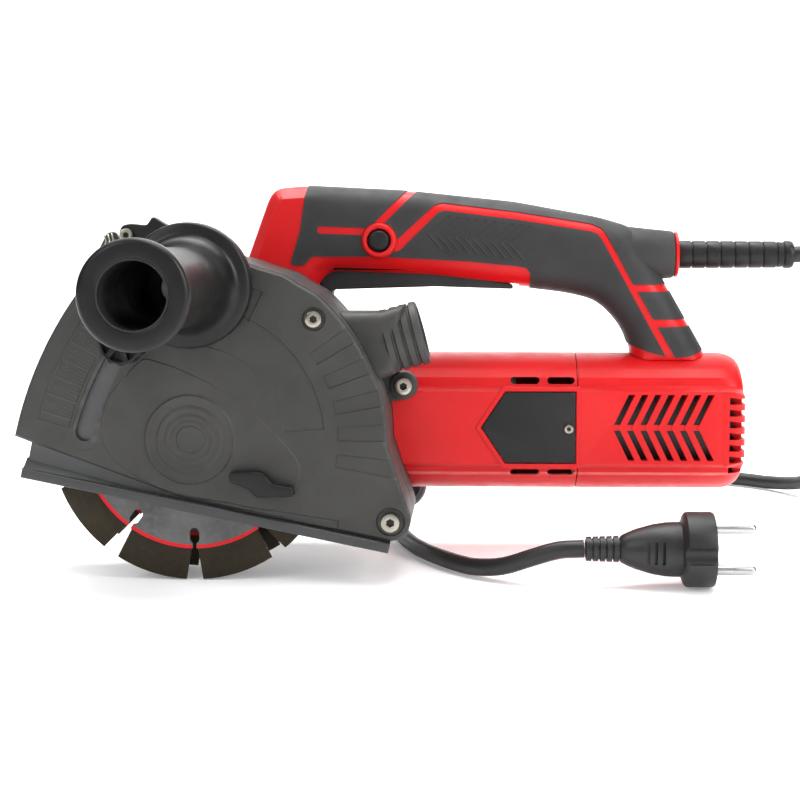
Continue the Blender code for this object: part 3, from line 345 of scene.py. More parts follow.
def round_wire(name, points, radius, resolution):
    """A curve object along points, round in section."""
    line = bpy.data.curves.new(name, "CURVE")
    line.dimensions = "3D"
    line.bevel_depth = radius
    line.bevel_resolution = resolution
    line.use_fill_caps = True
    spline = line.splines.new("POLY")
    spline.points.add(len(points) - 1)
    for knot, point in zip(spline.points, points):
        knot.co = (*point, 1.0)
    return placed(name, line)


def evaluated(obj):
    """The mesh of a working object with its modifiers done; the object goes."""
    bpy.context.view_layer.update()
    graph = bpy.context.evaluated_depsgraph_get()
    mesh = bpy.data.meshes.new_from_object(obj.evaluated_get(graph))
    bpy.data.objects.remove(obj)
    return mesh


def shaped(base, cuts=(), joins=()):
    """A mesh joined with and cut by others."""
    body = placed("work", base)
    tools = []
    for tool, how in [(tool, "UNION") for tool in joins] + [(tool, "DIFFERENCE") for tool in cuts]:
        tools.append(placed("tool", tool))
        change = body.modifiers.new(how, "BOOLEAN")
        change.operation = how
        change.solver = "EXACT"
        change.object = tools[-1]
    mesh = evaluated(body)
    for tool in tools:
        bpy.data.objects.remove(tool)
    return mesh


def joined(*meshes):
    """Several meshes as one, left overlapping."""
    work = bmesh.new()
    for mesh in meshes:
        work.from_mesh(mesh)
    whole = bpy.data.meshes.new("work")
    work.to_mesh(whole)
    work.free()
    return whole


def add(name, body, slot, nodes, *parts, angle=32):
    """A finished piece from (mesh, material) parts drawn in machine millimetres."""
    whole = bmesh.new()
    finishes = []
    for mesh, finish in parts:
        if finish not in finishes:
            finishes.append(finish)
        first = len(whole.faces)
        whole.from_mesh(mesh)
        whole.faces.ensure_lookup_table()
        for face in whole.faces[first:]:
            face.material_index = finishes.index(finish)
    mesh = bpy.data.meshes.new(name)
    whole.to_mesh(mesh)
    whole.free()
    mesh.transform(TO_FRAME)
    for finish in finishes:
        mesh.materials.append(finish)
    mesh.shade_smooth()
    mesh.set_sharp_from_angle(angle=math.radians(angle))
    piece = placed(name, mesh)
    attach(piece, body)
    if nodes:
        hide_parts(*nodes)
    return piece


# ---------------------------------------------------------------- materials

def node(tree, kind, **values):
    made = tree.nodes.new(kind)
    for key, value in values.items():
        setattr(made, key, value)
    return made


def set_inputs(made, **values):
    """Plain values for a node's inputs, named with _ for each space."""
    for key, value in values.items():
        made.inputs[key.replace("_", " ")].default_value = value
    return made


def noise(tree, coords, size, detail):
    """A noise pattern whose spots are about size millimetres across."""
    made = set_inputs(node(tree, "ShaderNodeTexNoise"), Scale=1 / (size * MM), Detail=detail, Roughness=0.55)
    tree.links.new(coords, made.inputs["Vector"])
    return made.outputs["Fac"]


def ramp(tree, value, low, high, from_min=0.35, from_max=0.65):
    """A value stretched from one range to another."""
    made = set_inputs(node(tree, "ShaderNodeMapRange"), From_Min=from_min, From_Max=from_max, To_Min=low,
                      To_Max=high)
    tree.links.new(value, made.inputs["Value"])
    return made.outputs["Result"]


def blend_colours(tree, share, first, second):
    """Two colours, or a colour over an earlier mix, blended by a share."""
    made = node(tree, "ShaderNodeMix", data_type="RGBA")
    tree.links.new(share, made.inputs["Factor"])
    for socket, colour in ((made.inputs[6], first), (made.inputs[7], second)):
        if isinstance(colour, tuple):
            socket.default_value = (*colour, 1.0)
        else:
            tree.links.new(colour, socket)
    return made.outputs[2]


def bumped(tree, height, depth, strength):
    """A bump node of a depth in millimetres, set on the tree's surface."""
    bump = set_inputs(node(tree, "ShaderNodeBump"), Strength=strength, Distance=depth * MM)
    tree.links.new(height, bump.inputs["Height"])
    tree.links.new(bump.outputs["Normal"], tree.nodes["Principled BSDF"].inputs["Normal"])
    return bump


def surface(name, colour, rough, metallic=0.0, grain=0.05, grain_size=0.6, mottle=0.12, wear=0.0,
            wear_colour=None, specular=0.5, stretch=(1, 1, 1)):
    """A moulded, cast or turned surface: grain, uneven colour and gloss, and worn edges."""
    finish = bpy.data.materials.new(name)
    finish.use_nodes = True
    tree = finish.node_tree
    shader = tree.nodes["Principled BSDF"]
    place = node(tree, "ShaderNodeTexCoord").outputs["Object"]
    if stretch != (1, 1, 1):
        scaled = set_inputs(node(tree, "ShaderNodeMapping"), Scale=stretch)
        tree.links.new(place, scaled.inputs["Vector"])
        place = scaled.outputs["Vector"]
    broad = noise(tree, place, 28.0, 5.0)
    fine = noise(tree, place, grain_size, 3.0)
    dark = tuple(channel * (1 - mottle) for channel in colour)
    light = tuple(min(1.0, channel * (1 + mottle)) for channel in colour)
    mixed = blend_colours(tree, ramp(tree, broad, 0, 1), dark, light)
    speck = tuple(min(1.0, channel * (1 + mottle * 2.0) + 0.002) for channel in colour)
    mixed = blend_colours(tree, ramp(tree, fine, 0, 0.6, 0.5, 0.8), mixed, speck)
    if wear:
        edge = node(tree, "ShaderNodeNewGeometry").outputs["Pointiness"]
        worn = wear_colour or tuple(min(1, channel * 1.8 + 0.02) for channel in colour)
        mixed = blend_colours(tree, ramp(tree, edge, 0, wear, 0.52, 0.62), mixed, worn)
    tree.links.new(mixed, shader.inputs["Base Color"])
    gloss = ramp(tree, noise(tree, place, 9.0, 4.0), max(0.05, rough - 0.06), min(1, rough + 0.06))
    tree.links.new(gloss, shader.inputs["Roughness"])
    set_inputs(shader, Metallic=metallic, Specular_IOR_Level=specular)
    bumped(tree, fine, grain, 0.6)
    return finish


def blade_finish(name, colour, groove, depth):
    """Blade metal with fine rings about the spindle."""
    finish = surface(name, colour, 0.5, 0.55, grain=0.08, grain_size=2.2, mottle=0.3)
    tree = finish.node_tree
    grain = tree.nodes["Principled BSDF"].inputs["Normal"].links[0].from_socket
    place = node(tree, "ShaderNodeTexCoord").outputs["Object"]
    parts = node(tree, "ShaderNodeSeparateXYZ")
    tree.links.new(place, parts.inputs[0])
    flat = node(tree, "ShaderNodeCombineXYZ")
    for axis, centre in ((0, ZERO.x * MM), (2, ZERO.z * MM)):
        away = node(tree, "ShaderNodeMath", operation="SUBTRACT")
        tree.links.new(parts.outputs[axis], away.inputs[0])
        away.inputs[1].default_value = centre
        tree.links.new(away.outputs[0], flat.inputs[axis])
    reach = node(tree, "ShaderNodeVectorMath", operation="LENGTH")
    tree.links.new(flat.outputs[0], reach.inputs[0])
    waves = node(tree, "ShaderNodeMath", operation="MULTIPLY")
    tree.links.new(reach.outputs["Value"], waves.inputs[0])
    waves.inputs[1].default_value = 2 * math.pi / (groove * MM)
    sine = node(tree, "ShaderNodeMath", operation="SINE")
    tree.links.new(waves.outputs[0], sine.inputs[0])
    rings = bumped(tree, sine.outputs[0], depth, 0.7)
    tree.links.new(grain, rings.inputs["Normal"])
    return finish


RED = surface("red_shell", (0.56, 0.006, 0.008), 0.38, grain=0.02, grain_size=0.5, mottle=0.04, wear=0.2,
              wear_colour=(0.74, 0.04, 0.036), specular=0.25)
GRIP = surface("soft_grip", (0.024, 0.024, 0.025), 0.6, grain=0.07, grain_size=0.45, mottle=0.16, wear=0.3,
               specular=0.3)
GUARD = surface("guard_paint", (0.037, 0.0362, 0.034), 0.52, 0.1, grain=0.08, grain_size=0.45, mottle=0.12,
                wear=0.3, wear_colour=(0.10, 0.10, 0.098), specular=0.35)
SOLE = surface("sole_steel", (0.044, 0.045, 0.046), 0.38, 0.5, grain=0.03, grain_size=0.8, mottle=0.1,
               wear=0.4, wear_colour=(0.15, 0.15, 0.155), stretch=(0.25, 1, 1), specular=0.35)
BLACK = surface("black_plastic", (0.010, 0.010, 0.010), 0.38, grain=0.03, grain_size=0.4, mottle=0.12,
                wear=0.5, specular=0.22)
RUBBER = surface("handle_rubber", (0.007, 0.007, 0.007), 0.34, grain=0.025, grain_size=0.4, mottle=0.14,
                 wear=0.3, specular=0.24)
ALLOY = surface("gear_case_alloy", (0.10, 0.10, 0.105), 0.42, 0.75, grain=0.08, grain_size=0.7, mottle=0.12,
                wear=0.4, wear_colour=(0.24, 0.24, 0.24))
STEEL = surface("plain_steel", (0.42, 0.42, 0.43), 0.3, 1.0, grain=0.01, grain_size=0.4, mottle=0.1)
NICKEL = surface("nickel_screw", (0.32, 0.295, 0.25), 0.3, 1.0, grain=0.01, grain_size=0.3, mottle=0.15)
# Near-black: painted shade on the floors of the screw sockets; also the colour of the grip's small dashes.
DARK = surface("screw_socket", (0.02, 0.02, 0.02), 0.6, 0.4, grain=0.02, mottle=0.1)
CORE = blade_finish("blade_core", (0.10, 0.10, 0.10), 3.1, 0.02)
SEGMENT = blade_finish("blade_segment", (0.019, 0.013, 0.005), 1.3, 0.04)
PAINT = surface("blade_paint", (0.58, 0.004, 0.010), 0.4, grain=0.02, mottle=0.1, specular=0.3)
COPPER = surface("copper", (0.6, 0.25, 0.12), 0.35, 1.0, mottle=0.12)
BRASS = surface("brass", (0.55, 0.4, 0.15), 0.35, 1.0, mottle=0.12)
CARBON = surface("carbon", (0.03, 0.03, 0.03), 0.7, mottle=0.1)
LAMINATION = surface("lamination", (0.25, 0.25, 0.27), 0.5, 0.8, grain=0.1, grain_size=0.5, stretch=(6, 1, 1))
CABLE = surface("cord_rubber", (0.012, 0.012, 0.012), 0.45, grain=0.04, grain_size=0.5, mottle=0.1,
                specular=0.35)
PRINT = surface("scale_marks", (0.060, 0.060, 0.058), 0.5, grain=0.02, mottle=0.08, specular=0.35)
ROLLER = surface("roller_blue_grey", (0.075, 0.082, 0.11), 0.4, grain=0.03, mottle=0.1, wear=0.4)
BY_SLOT = {"red_plastic": RED, "grip_rubber": GRIP, "guard_coat": GUARD, "sole_steel": SOLE,
           "black_plastic": BLACK, "gear_case_alloy": ALLOY, "plain_steel": STEEL, "nickel_screw": NICKEL,
           "blade_steel": CORE, "copper": COPPER, "brass": BRASS, "carbon": CARBON, "lamination": LAMINATION,
           "cord_rubber": CABLE}


# ---------------------------------------------------------------- guard

def guard_loop(inset=0.0):
    """The guard's outline, seen from its cover, drawn in by inset."""
    loop = pivot_arc(GUARD_FRONT_R - inset, 12.7, 36.5)
    loop += arc((0, 0), 84.5 - inset, 120, 68, 26)
    loop += arc((0, 0), 86.5 - inset, 60, 55, 3) + arc((0, 0), 88.0 - inset, 49, 24, 13)
    loop += arc((0, 0), 90.0 - inset, 14, -2, 9)
    loop += arc(PIVOT, 9.0 - inset, 14, -100, 16)
    above = SOLE_THICK + 0.7 + inset
    return loop + [sole_point(165, above), sole_point(76, above), (-73.4, -1.5 + inset)]


def guard_hollow():
    """The guard's inside, open along its lower edge."""
    loop = pivot_arc(GUARD_FRONT_R - GUARD_WALL, 9, 36)
    loop += arc((0, 0), 84.5 - GUARD_WALL, 120, 68, 26) + arc((0, 0), 88.0 - GUARD_WALL, 49, 24, 12)
    loop += arc((0, 0), 90.0 - GUARD_WALL, 14, -2, 8) + arc(PIVOT, 9.0 - GUARD_WALL, 14, -50, 8)
    return loop + [(99.0, -60.0), sole_point(-4, -8)]


def slot_loop(half, first=SLOT_END_ANGLE, last=KNOB_ANGLE + 1.6):
    """A round-ended curved slot about the shoe's pivot."""
    lead = math.degrees(half / KNOB_R)
    first, last = first + lead, last - lead
    return (pivot_arc(KNOB_R + half, first, last)
            + arc(about_pivot(KNOB_R, last), half, 180 - last, -last, 10)
            + pivot_arc(KNOB_R - half, last, first)
            + arc(about_pivot(KNOB_R, first), half, 360 - first, 180 - first, 10))


FAN_PADS = [spindle_band(67.6, 99.0, middle - 2.5, middle + 2.5, 3)
            for middle in [33 - 10.3 * index for index in range(5)]]
TEARDROP = [(-20.7, 37.4), (-6.1, 32.9), (9.8, 25.6), (28.1, 13.4), (41.5, 0.3), (49.0, -9.0), (50.6, -15.0),
            (48.5, -22.0), (43.8, -28.8), (37.6, -32.6), (30.5, -32.3), (19.4, -29.2), (-9.6, -24.6),
            (-25.0, -17.0), (-34.4, -10.4), (-39.4, -3.0), (-40.8, 4.0), (-39.8, 12.0), (-36.0, 21.0),
            (-28.0, 30.3)]
FACE_Y = 0.55                          # the cover's plain face, behind its raised borders
# Outlines on the cover's face, how much each stands out, and the width of its sloping edge
COVER_FEATURES = (
    [(pad, -0.55, 0.35) for pad in FAN_PADS]
    + [(fillet(TEARDROP, 3.0, 3), 0.32, 0.5),
       (spindle_band(43.0, 61.4, 4.6, 100.0, 36), -0.42, 0.35),
       ([(33.9, 67.5), (27.2, 53.9), (14.0, 60.0), (20.0, 72.0)], -0.42, 0.35),
       (slot_loop(7.6, 13.0, 33.0), 0.4, 0.6),
       (pivot_band(151.6, 168.0, 16.2, 37.2), -0.3, 0.4),
       ([(-5.9, -25.7), (67.8, -37.2), (67.5, -40.6), (-6.4, -27.4)], -0.45, 0.35),
       (circle(COVER_SCREW, 5.2, 32), -0.9, 0.4), (circle(PIVOT, 6.4, 32), -0.9, 0.5)])
HUB_R = 20.6                           # the raised round pad over the spindle
RING_RIDGES = ((20.0, 0.55), (15.7, -0.4), (14.2, 0.28), (12.0, -0.32), (10.4, 0.24), (9.0, -0.32),
               (6.3, -0.45), (5.4, 0.22))


def cover_relief(flat, edge):
    """How far the cover's face stands out at each point."""
    height = np.zeros(len(flat))
    for loop, rise, slope in COVER_FEATURES:
        away = distance_to(flat, loop)
        signed = np.where(inside(flat, loop), away, -away)
        height += rise * step_up(signed / slope + 0.5)
    reach = np.hypot(flat[:, 0], flat[:, 1])
    for radius, rise in RING_RIDGES:
        height += rise * np.exp(-((reach - radius) / 0.55) ** 2)
    height += 0.3 * step_up((HUB_R - reach) / 0.5) - 0.3 * step_up((5.8 - reach) / 0.5)
    rim = distance_to(flat, edge)
    pads = np.zeros(len(flat), bool)
    for pad in FAN_PADS:
        pads |= inside(flat, pad)
    bevel = np.clip(1.1 - rim, 0, 1.1)
    height -= np.where(pads, 0.4, 0.95) * bevel
    return height


def build_cover():
    """The guard's outer cover, its relief drawn on one net of triangles."""
    lines = []
    for loop, _, slope in COVER_FEATURES:
        lines += [shrunk(loop, slope / 2), shrunk(loop, -slope / 2)]
    lines += [circle((0, 0), radius + offset, 120) for radius, _ in RING_RIDGES for offset in (-0.5, 0, 0.5)]
    lines += [circle((0, 0), HUB_R + 0.3, 120)]
    flat, faces, edge = flat_net(guard_loop(), lines, 1.9, (0.35, 0.75, 1.1, 1.6))
    near = FACE_Y - cover_relief(flat, edge)
    verts, polygons, walls = slab(flat, faces, near, np.full(len(flat), COVER_THICK))
    plate = outward(mesh_of(verts, polygons + walls))
    cuts = [outline([slot_loop(4.15)], -5, 8), rod(at(AUX, -5), "Y", 4.6, 12),
            rod(at(PIVOT, -5), "Y", 3.3, 12), rod(at(COVER_SCREW, -5), "Y", 2.3, 12),
            rod(at(LATCH, -5), "Y", 2.5, 12)]
    plate = shaped(plate, cuts=cuts)
    add("cover_plate", "root", "guard_coat", ["outer_cover"], (plate, GUARD), angle=24)


def shrunk(loop, amount):
    """A closed outline moved inwards by an amount, along its own normals."""
    ring = np.array(loop)
    back, ahead = ring - np.roll(ring, 1, 0), np.roll(ring, -1, 0) - ring
    back /= np.maximum(np.linalg.norm(back, axis=1), 1e-9)[:, None]
    ahead /= np.maximum(np.linalg.norm(ahead, axis=1), 1e-9)[:, None]
    side = np.stack([-(back + ahead)[:, 1], (back + ahead)[:, 0]], 1)
    size = np.maximum(np.linalg.norm(side, axis=1), 0.6)
    side = side / size[:, None] * (2 / size[:, None]).clip(1, 2.4)
    area = np.sum(ring[:, 0] * np.roll(ring[:, 1], -1) - np.roll(ring[:, 0], -1) * ring[:, 1])
    return [tuple(point) for point in ring + side * amount * (1 if area > 0 else -1)]


SCALE_STEP = 2.985                     # degrees between the scale's numbers, 5 mm of depth


def build_scale():
    """Raised marks of the depth scale: cell borders, fine ticks and numbers."""
    face = FACE_Y + 0.3
    depth = (face - 0.22, face + 0.2)
    marks = []

    def bar(angle, inner, outer, half):
        ends = [about_pivot(inner, angle - half), about_pivot(outer, angle - half * inner / outer),
                about_pivot(outer, angle + half * inner / outer), about_pivot(inner, angle + half)]
        marks.append(outline([ends], *depth))

    for index in range(8):
        angle = 17.5 + SCALE_STEP * index
        bar(angle, 152.2, 167.4, 0.10)
        for tick in range(1, 5):
            if index < 7:
                bar(angle + SCALE_STEP * tick / 5, 153.9, 158.9, 0.055)
        label = bpy.data.curves.new("work", "FONT")
        label.body = str(5 * index)
        label.size = 4.2
        label.extrude = 0.2
        label.align_x, label.align_y = "CENTER", "CENTER"
        text = evaluated(placed("work", label))
        across, up = about_pivot(163.2, angle + 1.45)
        lean = Matrix.Rotation(math.radians(90 - angle - 1.45), 4, "Z")
        text.transform(Matrix.Translation((across, face, up)) @ Matrix.Rotation(math.pi / 2, 4, "X") @ lean)
        marks.append(text)
    for radius in (152.2, 167.2):
        marks.append(outline([pivot_band(radius - 0.15, radius + 0.15, 17.4, 38.4)], *depth))
    add("depth_scale_marks", "root", "guard_coat", [], (joined(*marks), PRINT), angle=40)


def build_guard_shell():
    """The guard behind the cover, with its bosses, lug and lever bracket."""
    start = COVER_THICK + GAP
    shell = outline([guard_loop()], start, GUARD_DEPTH, edge=2.2, rounds=3)
    inner = outline([guard_hollow()], start - 5, GUARD_DEPTH - GUARD_WALL)
    lip = outline([guard_loop(-5), guard_loop(0.9)], start - 1, start + 2.6)
    boss = rod(at(COVER_SCREW, start), "Y", 5.0, 57)
    lug = rod(at(LUG, 36.5), "Y", 6.6, 9.9, edge=0.8)
    web = outline([[(84, 12), (96, 14.7), (99, 21), (94, 27.5), (80, 33)]], 38.5, 45.5, edge=0.8)
    bracket = outline([fillet([(-52, 60), (-46, 85), (-41.3, 94.1), (-37.5, 94.5), (-34.5, 88.5), (-27, 88.5),
                               (-24, 96), (-20, 92), (-14, 78)], 1.5)], 20.0, 24.0, edge=0.6)
    cuts = [rod((0, GUARD_DEPTH - 10, 0), "Y", 24.3, 20), rod(at(PIVOT, 40), "Y", 3.3, 40),
            port_bar(12.0, 60), rod(at(LUG, 30), "Y", 2.5, 30), rod(at(LEVER, 0), "Y", 1.9, 40),
            rod(at(COVER_SCREW, -4), "Y", 2.0, 24)]
    shell = shaped(shaped(shell, cuts=[inner, lip]), joins=[boss, lug, web, bracket])
    shell = shaped(shell, cuts=cuts)
    add("guard_shell", "root", "guard_coat", ["rear_guard"], (shell, GUARD), angle=28)


def port_bar(radius, length, out=0.0):
    """A round bar along the dust port's tilted axis, back from its mouth."""
    return along_port(rod((0, 0, -length), "Z", radius, length), out)


def along_port(mesh, out=0.0):
    """A mesh drawn about Z, with its zero set in the port's mouth."""
    tilt = Matrix.Rotation(math.pi / 2 - PORT_TILT, 4, "Y")
    away = Vector((math.cos(PORT_TILT), 0, math.sin(PORT_TILT))) * out
    mesh.transform(Matrix.Translation(Vector(at(PORT_MOUTH, PORT_Y)) + away) @ tilt)
    return mesh


def build_port():
    """The ribbed dust port on its neck."""
    ribs = [(14.2, -46.0)]
    for index in range(4):
        start = -17.8 + index * 4.6
        ribs += [(14.2, start), (15.3, start + 0.7), (15.0, start + 3.4), (14.2, start + 3.9)]
    ribs += [(14.2, -0.4), (13.9, 0.0)]
    socket = along_port(turned((0, 0, 0), "Z", ribs))
    neck = outline([[(55, 57.1), (86.4, 57.1), (97, 60.5), (92.8, 28.5), (80, 24), (70, 30)]],
                   PORT_Y - 14, PORT_Y + 14, edge=5.0, rounds=5)
    body = shaped(socket, joins=[neck])
    clear = outline([guard_loop(-GAP)], -5, GUARD_DEPTH + 5)
    web = outline([[(80, 6), (97, 13), (101, 21), (95, 28.2), (78, 34.6)]], 38.2, 45.8)
    cuts = [clear, rod(at(LUG, 20), "Y", 6.9, 40), web, port_bar(12.6, 70, out=5)]
    add("dust_outlet", "root", "guard_coat", ["dust_port"], (shaped(body, cuts=cuts), GUARD))


# ---------------------------------------------------------------- shoe, knob and levers

def shoe_wall(top):
    """One side wall of the shoe, up to an angle about its pivot."""
    loop = [sole_point(1.2, 0.5)] + pivot_arc(SHOE_R, 12, top)
    loop += [about_pivot(KNOB_R - 16, top), about_pivot(30, 30)] + arc(PIVOT, 6.0, 100, -60, 12)
    return loop + [sole_point(SOLE_LENGTH - 3, 0.5)]


def build_shoe():
    half, centre = (SOLE_FAR_Y - SOLE_NEAR_Y) / 2, (SOLE_FAR_Y + SOLE_NEAR_Y) / 2
    sole = block((0, centre - half, 0), (SOLE_LENGTH, centre + half, SOLE_THICK), edge=0.7)
    lift = Matrix.Translation(at(SOLE_FRONT, 0)) @ Matrix.Rotation(SOLE_SLOPE, 4, "Y")
    sole.transform(lift)
    near, far = COVER_THICK + GAP, GUARD_DEPTH - GUARD_WALL - GAP
    knob = about_pivot(KNOB_R, KNOB_ANGLE)
    near_wall = outline([shoe_wall(38.5), circle(knob, 3.4)], near, near + 2.0)
    far_wall = outline([shoe_wall(26)], far - 2.0, far)
    front = outline([[sole_point(1.2, 0.5), about_pivot(SHOE_R, 11), about_pivot(SHOE_R - 2, 11),
                      sole_point(3.4, 0.5)]], near + 0.5, far - 0.5)
    corners = []
    for along, rise in ((0.4, 4.6), (66.0, 0.3)):
        for y, above in ((near - 3.4, -0.4), (near + 0.6, rise), (near + 0.6, -0.4)):
            across, up = sole_point(along, SOLE_THICK + above)
            corners.append((across, y, up))
    bend = outward(mesh_of(corners, [(0, 1, 2), (3, 5, 4), (0, 3, 4, 1), (1, 4, 5, 2), (2, 5, 3, 0)]))
    cuts = [block((-70, 5.6, -80), (62, 46, 10)), block((78, 6.5, -60), (110, 50.5, -20)),
            rod(at(PIVOT, -5), "Y", 3.4, 80), rod((0, 20, 0), "Y", 34, 60)]
    shoe = shaped(shaped(sole, joins=[near_wall, far_wall, front, bend]), cuts=cuts)
    add("sole_shoe", "shoe", "sole_steel", ["shoe"], (shoe, SOLE), angle=28)


KNOB_LOBES = 12


def build_knob():
    """The depth knob: a scalloped wheel with a dished, spoked face."""
    across, up = about_pivot(KNOB_R, KNOB_ANGLE)
    loop = []
    for index in range(144):
        angle = 2 * math.pi * index / 144
        radius = 9.95 + 0.45 * math.cos(KNOB_LOBES * angle)
        loop.append((across + radius * math.cos(angle), up + radius * math.sin(angle)))
    wheel = outline([loop], -12.0, -0.4, edge=0.5)
    stud = rod((across, -5, up), "Y", 2.9, 12.5)
    pockets = []
    for index in range(6):
        middle = 60 * index + 15
        pocket = arc((across, up), 8.5, middle - 22, middle + 22, 8)
        pocket += arc((across, up), 4.2, middle + 16, middle - 16, 4)
        pockets.append(outline([fillet(pocket, 0.5, 2)], -14, -7.5))
    cup = turned((across, 0, up), "Y", [(8.9, -14), (8.9, -11.2)])
    hub = rod((across, -12.0, up), "Y", 3.4, 4, edge=0.5)
    wheel = shaped(shaped(wheel, cuts=[cup, joined(*pockets)]), joins=[stud, hub])
    add("depth_wheel", "depth_knob", "black_plastic", ["depth_knob"], (wheel, BLACK), angle=30)


def build_latch():
    loop = [(18.7, -14.2), (31.5, -13.6), (34.6, -14.6), (38.7, -19.4), (48.0, -20.9), (48.2, -25.2),
            (31.0, -25.8), (27.4, -21.6), (18.7, -18.6)]
    lever = outline([fillet(loop, 1.6)], -6.4, -0.4, edge=1.1, rounds=4)
    pin = rod(at(LATCH, -2), "Y", 2.0, 4.4)
    add("latch_lever", "cover_latch", "black_plastic", ["cover_latch"], (shaped(lever, joins=[pin]), BLACK))


def build_lever():
    loop = [(-33.4, 90.4), (-34.0, 94.0), (-32.4, 97.4), (-28.6, 98.2), (-21.0, 97.4), (-18.4, 101.6),
            (-12.6, 98.0), (-6.0, 94.8), (-5.0, 91.2), (-12.0, 90.6), (-27.2, 90.2)]
    lever = outline([fillet(loop, 1.4), circle(LEVER, 1.9, 24)], 12.0, 19.2, edge=0.9)
    add("lever_arm", "release_lever", "black_plastic", ["release_lever"], (lever, BLACK))
    wire = []
    for index in range(3 * 24 + 1):
        angle = 2 * math.pi * index / 24
        wire.append((1.9 * math.cos(angle), 1.9 * math.sin(angle), 1.7 * index / 24))
    spring = evaluated(round_wire("work", wire, 0.35, 3))
    spring.transform(Matrix.Translation((-41.4, 14.5, 90.6)) @ Matrix.Rotation(math.radians(74), 4, "Y"))
    add("lever_coil_spring", "root", "nickel_screw", ["lever_spring"], (spring, NICKEL))


def socket_screw(name, replaced, spot, face, head_r, head_high, shank_r, shank_long, sign=1):
    """A socket-head screw along Y, its head's outer face at face."""
    profile = [(head_r - 0.55, 0), (head_r - 0.15, 0.15), (head_r, 0.55), (head_r, head_high),
               (shank_r, head_high), (shank_r, head_high + shank_long)]
    body = turned((0, 0, 0), "Y", profile, 40)
    dish = turned((0, 0, 0), "Y", [(head_r * 0.60, -0.3), (head_r * 0.60, 0.45)], 40)
    star = [arc((0, 0), head_r * (0.50 if index % 2 else 0.40), 30 * index, 0, 1)[0] for index in range(12)]
    socket = outline([fillet(star, 0.3, 3)], -0.3, head_high * 0.75)
    body = shaped(shaped(body, cuts=[dish]), cuts=[socket])
    # A near-black disc at the bottom of the socket: painted shade in the socket's hollow.
    socket_shade = rod((0, head_high * 0.7, 0), "Y", head_r * 0.52, 0.1, 24)
    parts = [(body, NICKEL), (socket_shade, DARK)]
    flip = Matrix.Identity(4) if sign > 0 else Matrix.Rotation(math.pi, 4, "X")
    for mesh, _ in parts:
        mesh.transform(Matrix.Translation(at(spot, face)) @ flip)
    add(name, "root", "nickel_screw", [replaced], *parts, angle=30)


def build_screws():
    socket_screw("cover_bolt", "cover_screw", COVER_SCREW, -2.0, 3.8, 2.2, 1.6, 14.0)
    socket_screw("lug_bolt", "lug_screw", LUG, 33.0, 4.1, 3.2, 1.8, 16.0)
    socket_screw("lever_bolt", "lever_screw", LEVER, 9.5, 3.1, 2.2, 1.6, 11.5)
    socket_screw("pivot_pin", "pivot_bolt", PIVOT, -3.2, 4.3, 2.9, 2.9, 115.4)
    for index, point in enumerate(HANDLE_SCREWS):
        socket_screw("handle_bolt_%d" % (index + 1), "handle_screw_%d" % (index + 1), point, 95.2, 2.8, 2.2,
                     1.2, 22.0, sign=-1)
    for side, name in ((-1, "near"), (1, "far")):
        socket_screw("brush_cap_bolt_" + name, "brush_cover_screw_" + name, BRUSH_SCREW,
                     MOTOR_Y + side * (PANEL_REACH + 1.9), 2.3, 1.2, 1.0, 5.0, sign=-side)


# ---------------------------------------------------------------- blades

def build_blade(name, near, turn):
    """A segmented diamond blade: slotted core, painted rim and grooved segments."""
    pitch = 360 / SEGMENTS
    far = near + 2.2
    core = outline([circle((0, 0), RIM_R, 180), circle((0, 0), 11.3, 60)], near + 0.25, far - 0.25)
    slots, segments, paint = [], [], []
    for index in range(SEGMENTS):
        middle = math.radians(-90 + turn + index * pitch)
        away = Vector((math.cos(middle), math.sin(middle)))
        slots.append(outline([capsule(away * 44.6, away * 47.6, 2.25)], near - 2, far + 2))
        slots.append(outline([capsule(away * 47, away * 60, 0.9)], near - 2, far + 2))
        first = -90 + turn + index * pitch
        root, tip = math.degrees(1.6 / RIM_R), math.degrees(3.9 / BLADE_R)
        sector = arc((0, 0), BLADE_R, first + tip, first + pitch - tip, 14)
        sector += arc((0, 0), RIM_R, first + pitch - root, first + root, 12)
        segments.append(outline([sector], near, far, edge=0.25, rounds=1))
        slit = math.degrees(1.1 / RIM_R)
        paint.append(outline([spindle_band(PAINT_R, RIM_R + 0.1, first + slit, first + pitch - slit, 14)],
                             near + 0.18, far - 0.18))
    core = shaped(core, cuts=slots)
    add(name + "_disc", "spindle", "blade_steel", [name], (core, CORE), (joined(*segments), SEGMENT),
        (joined(*paint), PAINT), angle=30)


# ---------------------------------------------------------------- motor

SIDE_STEPS = ((59.6, 27.2), (55.4, 23.6), (53.6, 19.8), (47.2, 17.5))
LOW_STEPS = ((47.2, -17.8), (50.6, -20.0), (51.6, -22.3), (55.0, -24.0))


def housing_loop(inset=0.0):
    """Cross-section (y, h): a round body with a flat, stepped panel on each side."""
    radius = MOTOR_R - inset
    rise = math.degrees(math.asin(SIDE_STEPS[0][1] / MOTOR_R))
    drop = math.degrees(math.asin(-LOW_STEPS[-1][1] / MOTOR_R))
    near = [(MOTOR_Y - (MOTOR_Y - y) * radius / MOTOR_R, h * radius / MOTOR_R)
            for y, h in SIDE_STEPS + LOW_STEPS]
    far = [(2 * MOTOR_Y - y, h) for y, h in reversed(near)]
    top = arc((MOTOR_Y, 0), radius, rise + 1, 179 - rise, 28)
    bottom = arc((MOTOR_Y, 0), radius, 181 + drop, 359 - drop, 28)
    return top + near + bottom + far


def hex_loop(grow):
    """The brush cover's arrow-shaped outline, grown all round."""
    half = 17.2 + grow
    return [(132.9 - grow * 1.2, 0), (144.4 - grow * 0.5, half), (178.2 + grow, half),
            (178.2 + grow, -half), (144.4 - grow * 0.5, -half)]


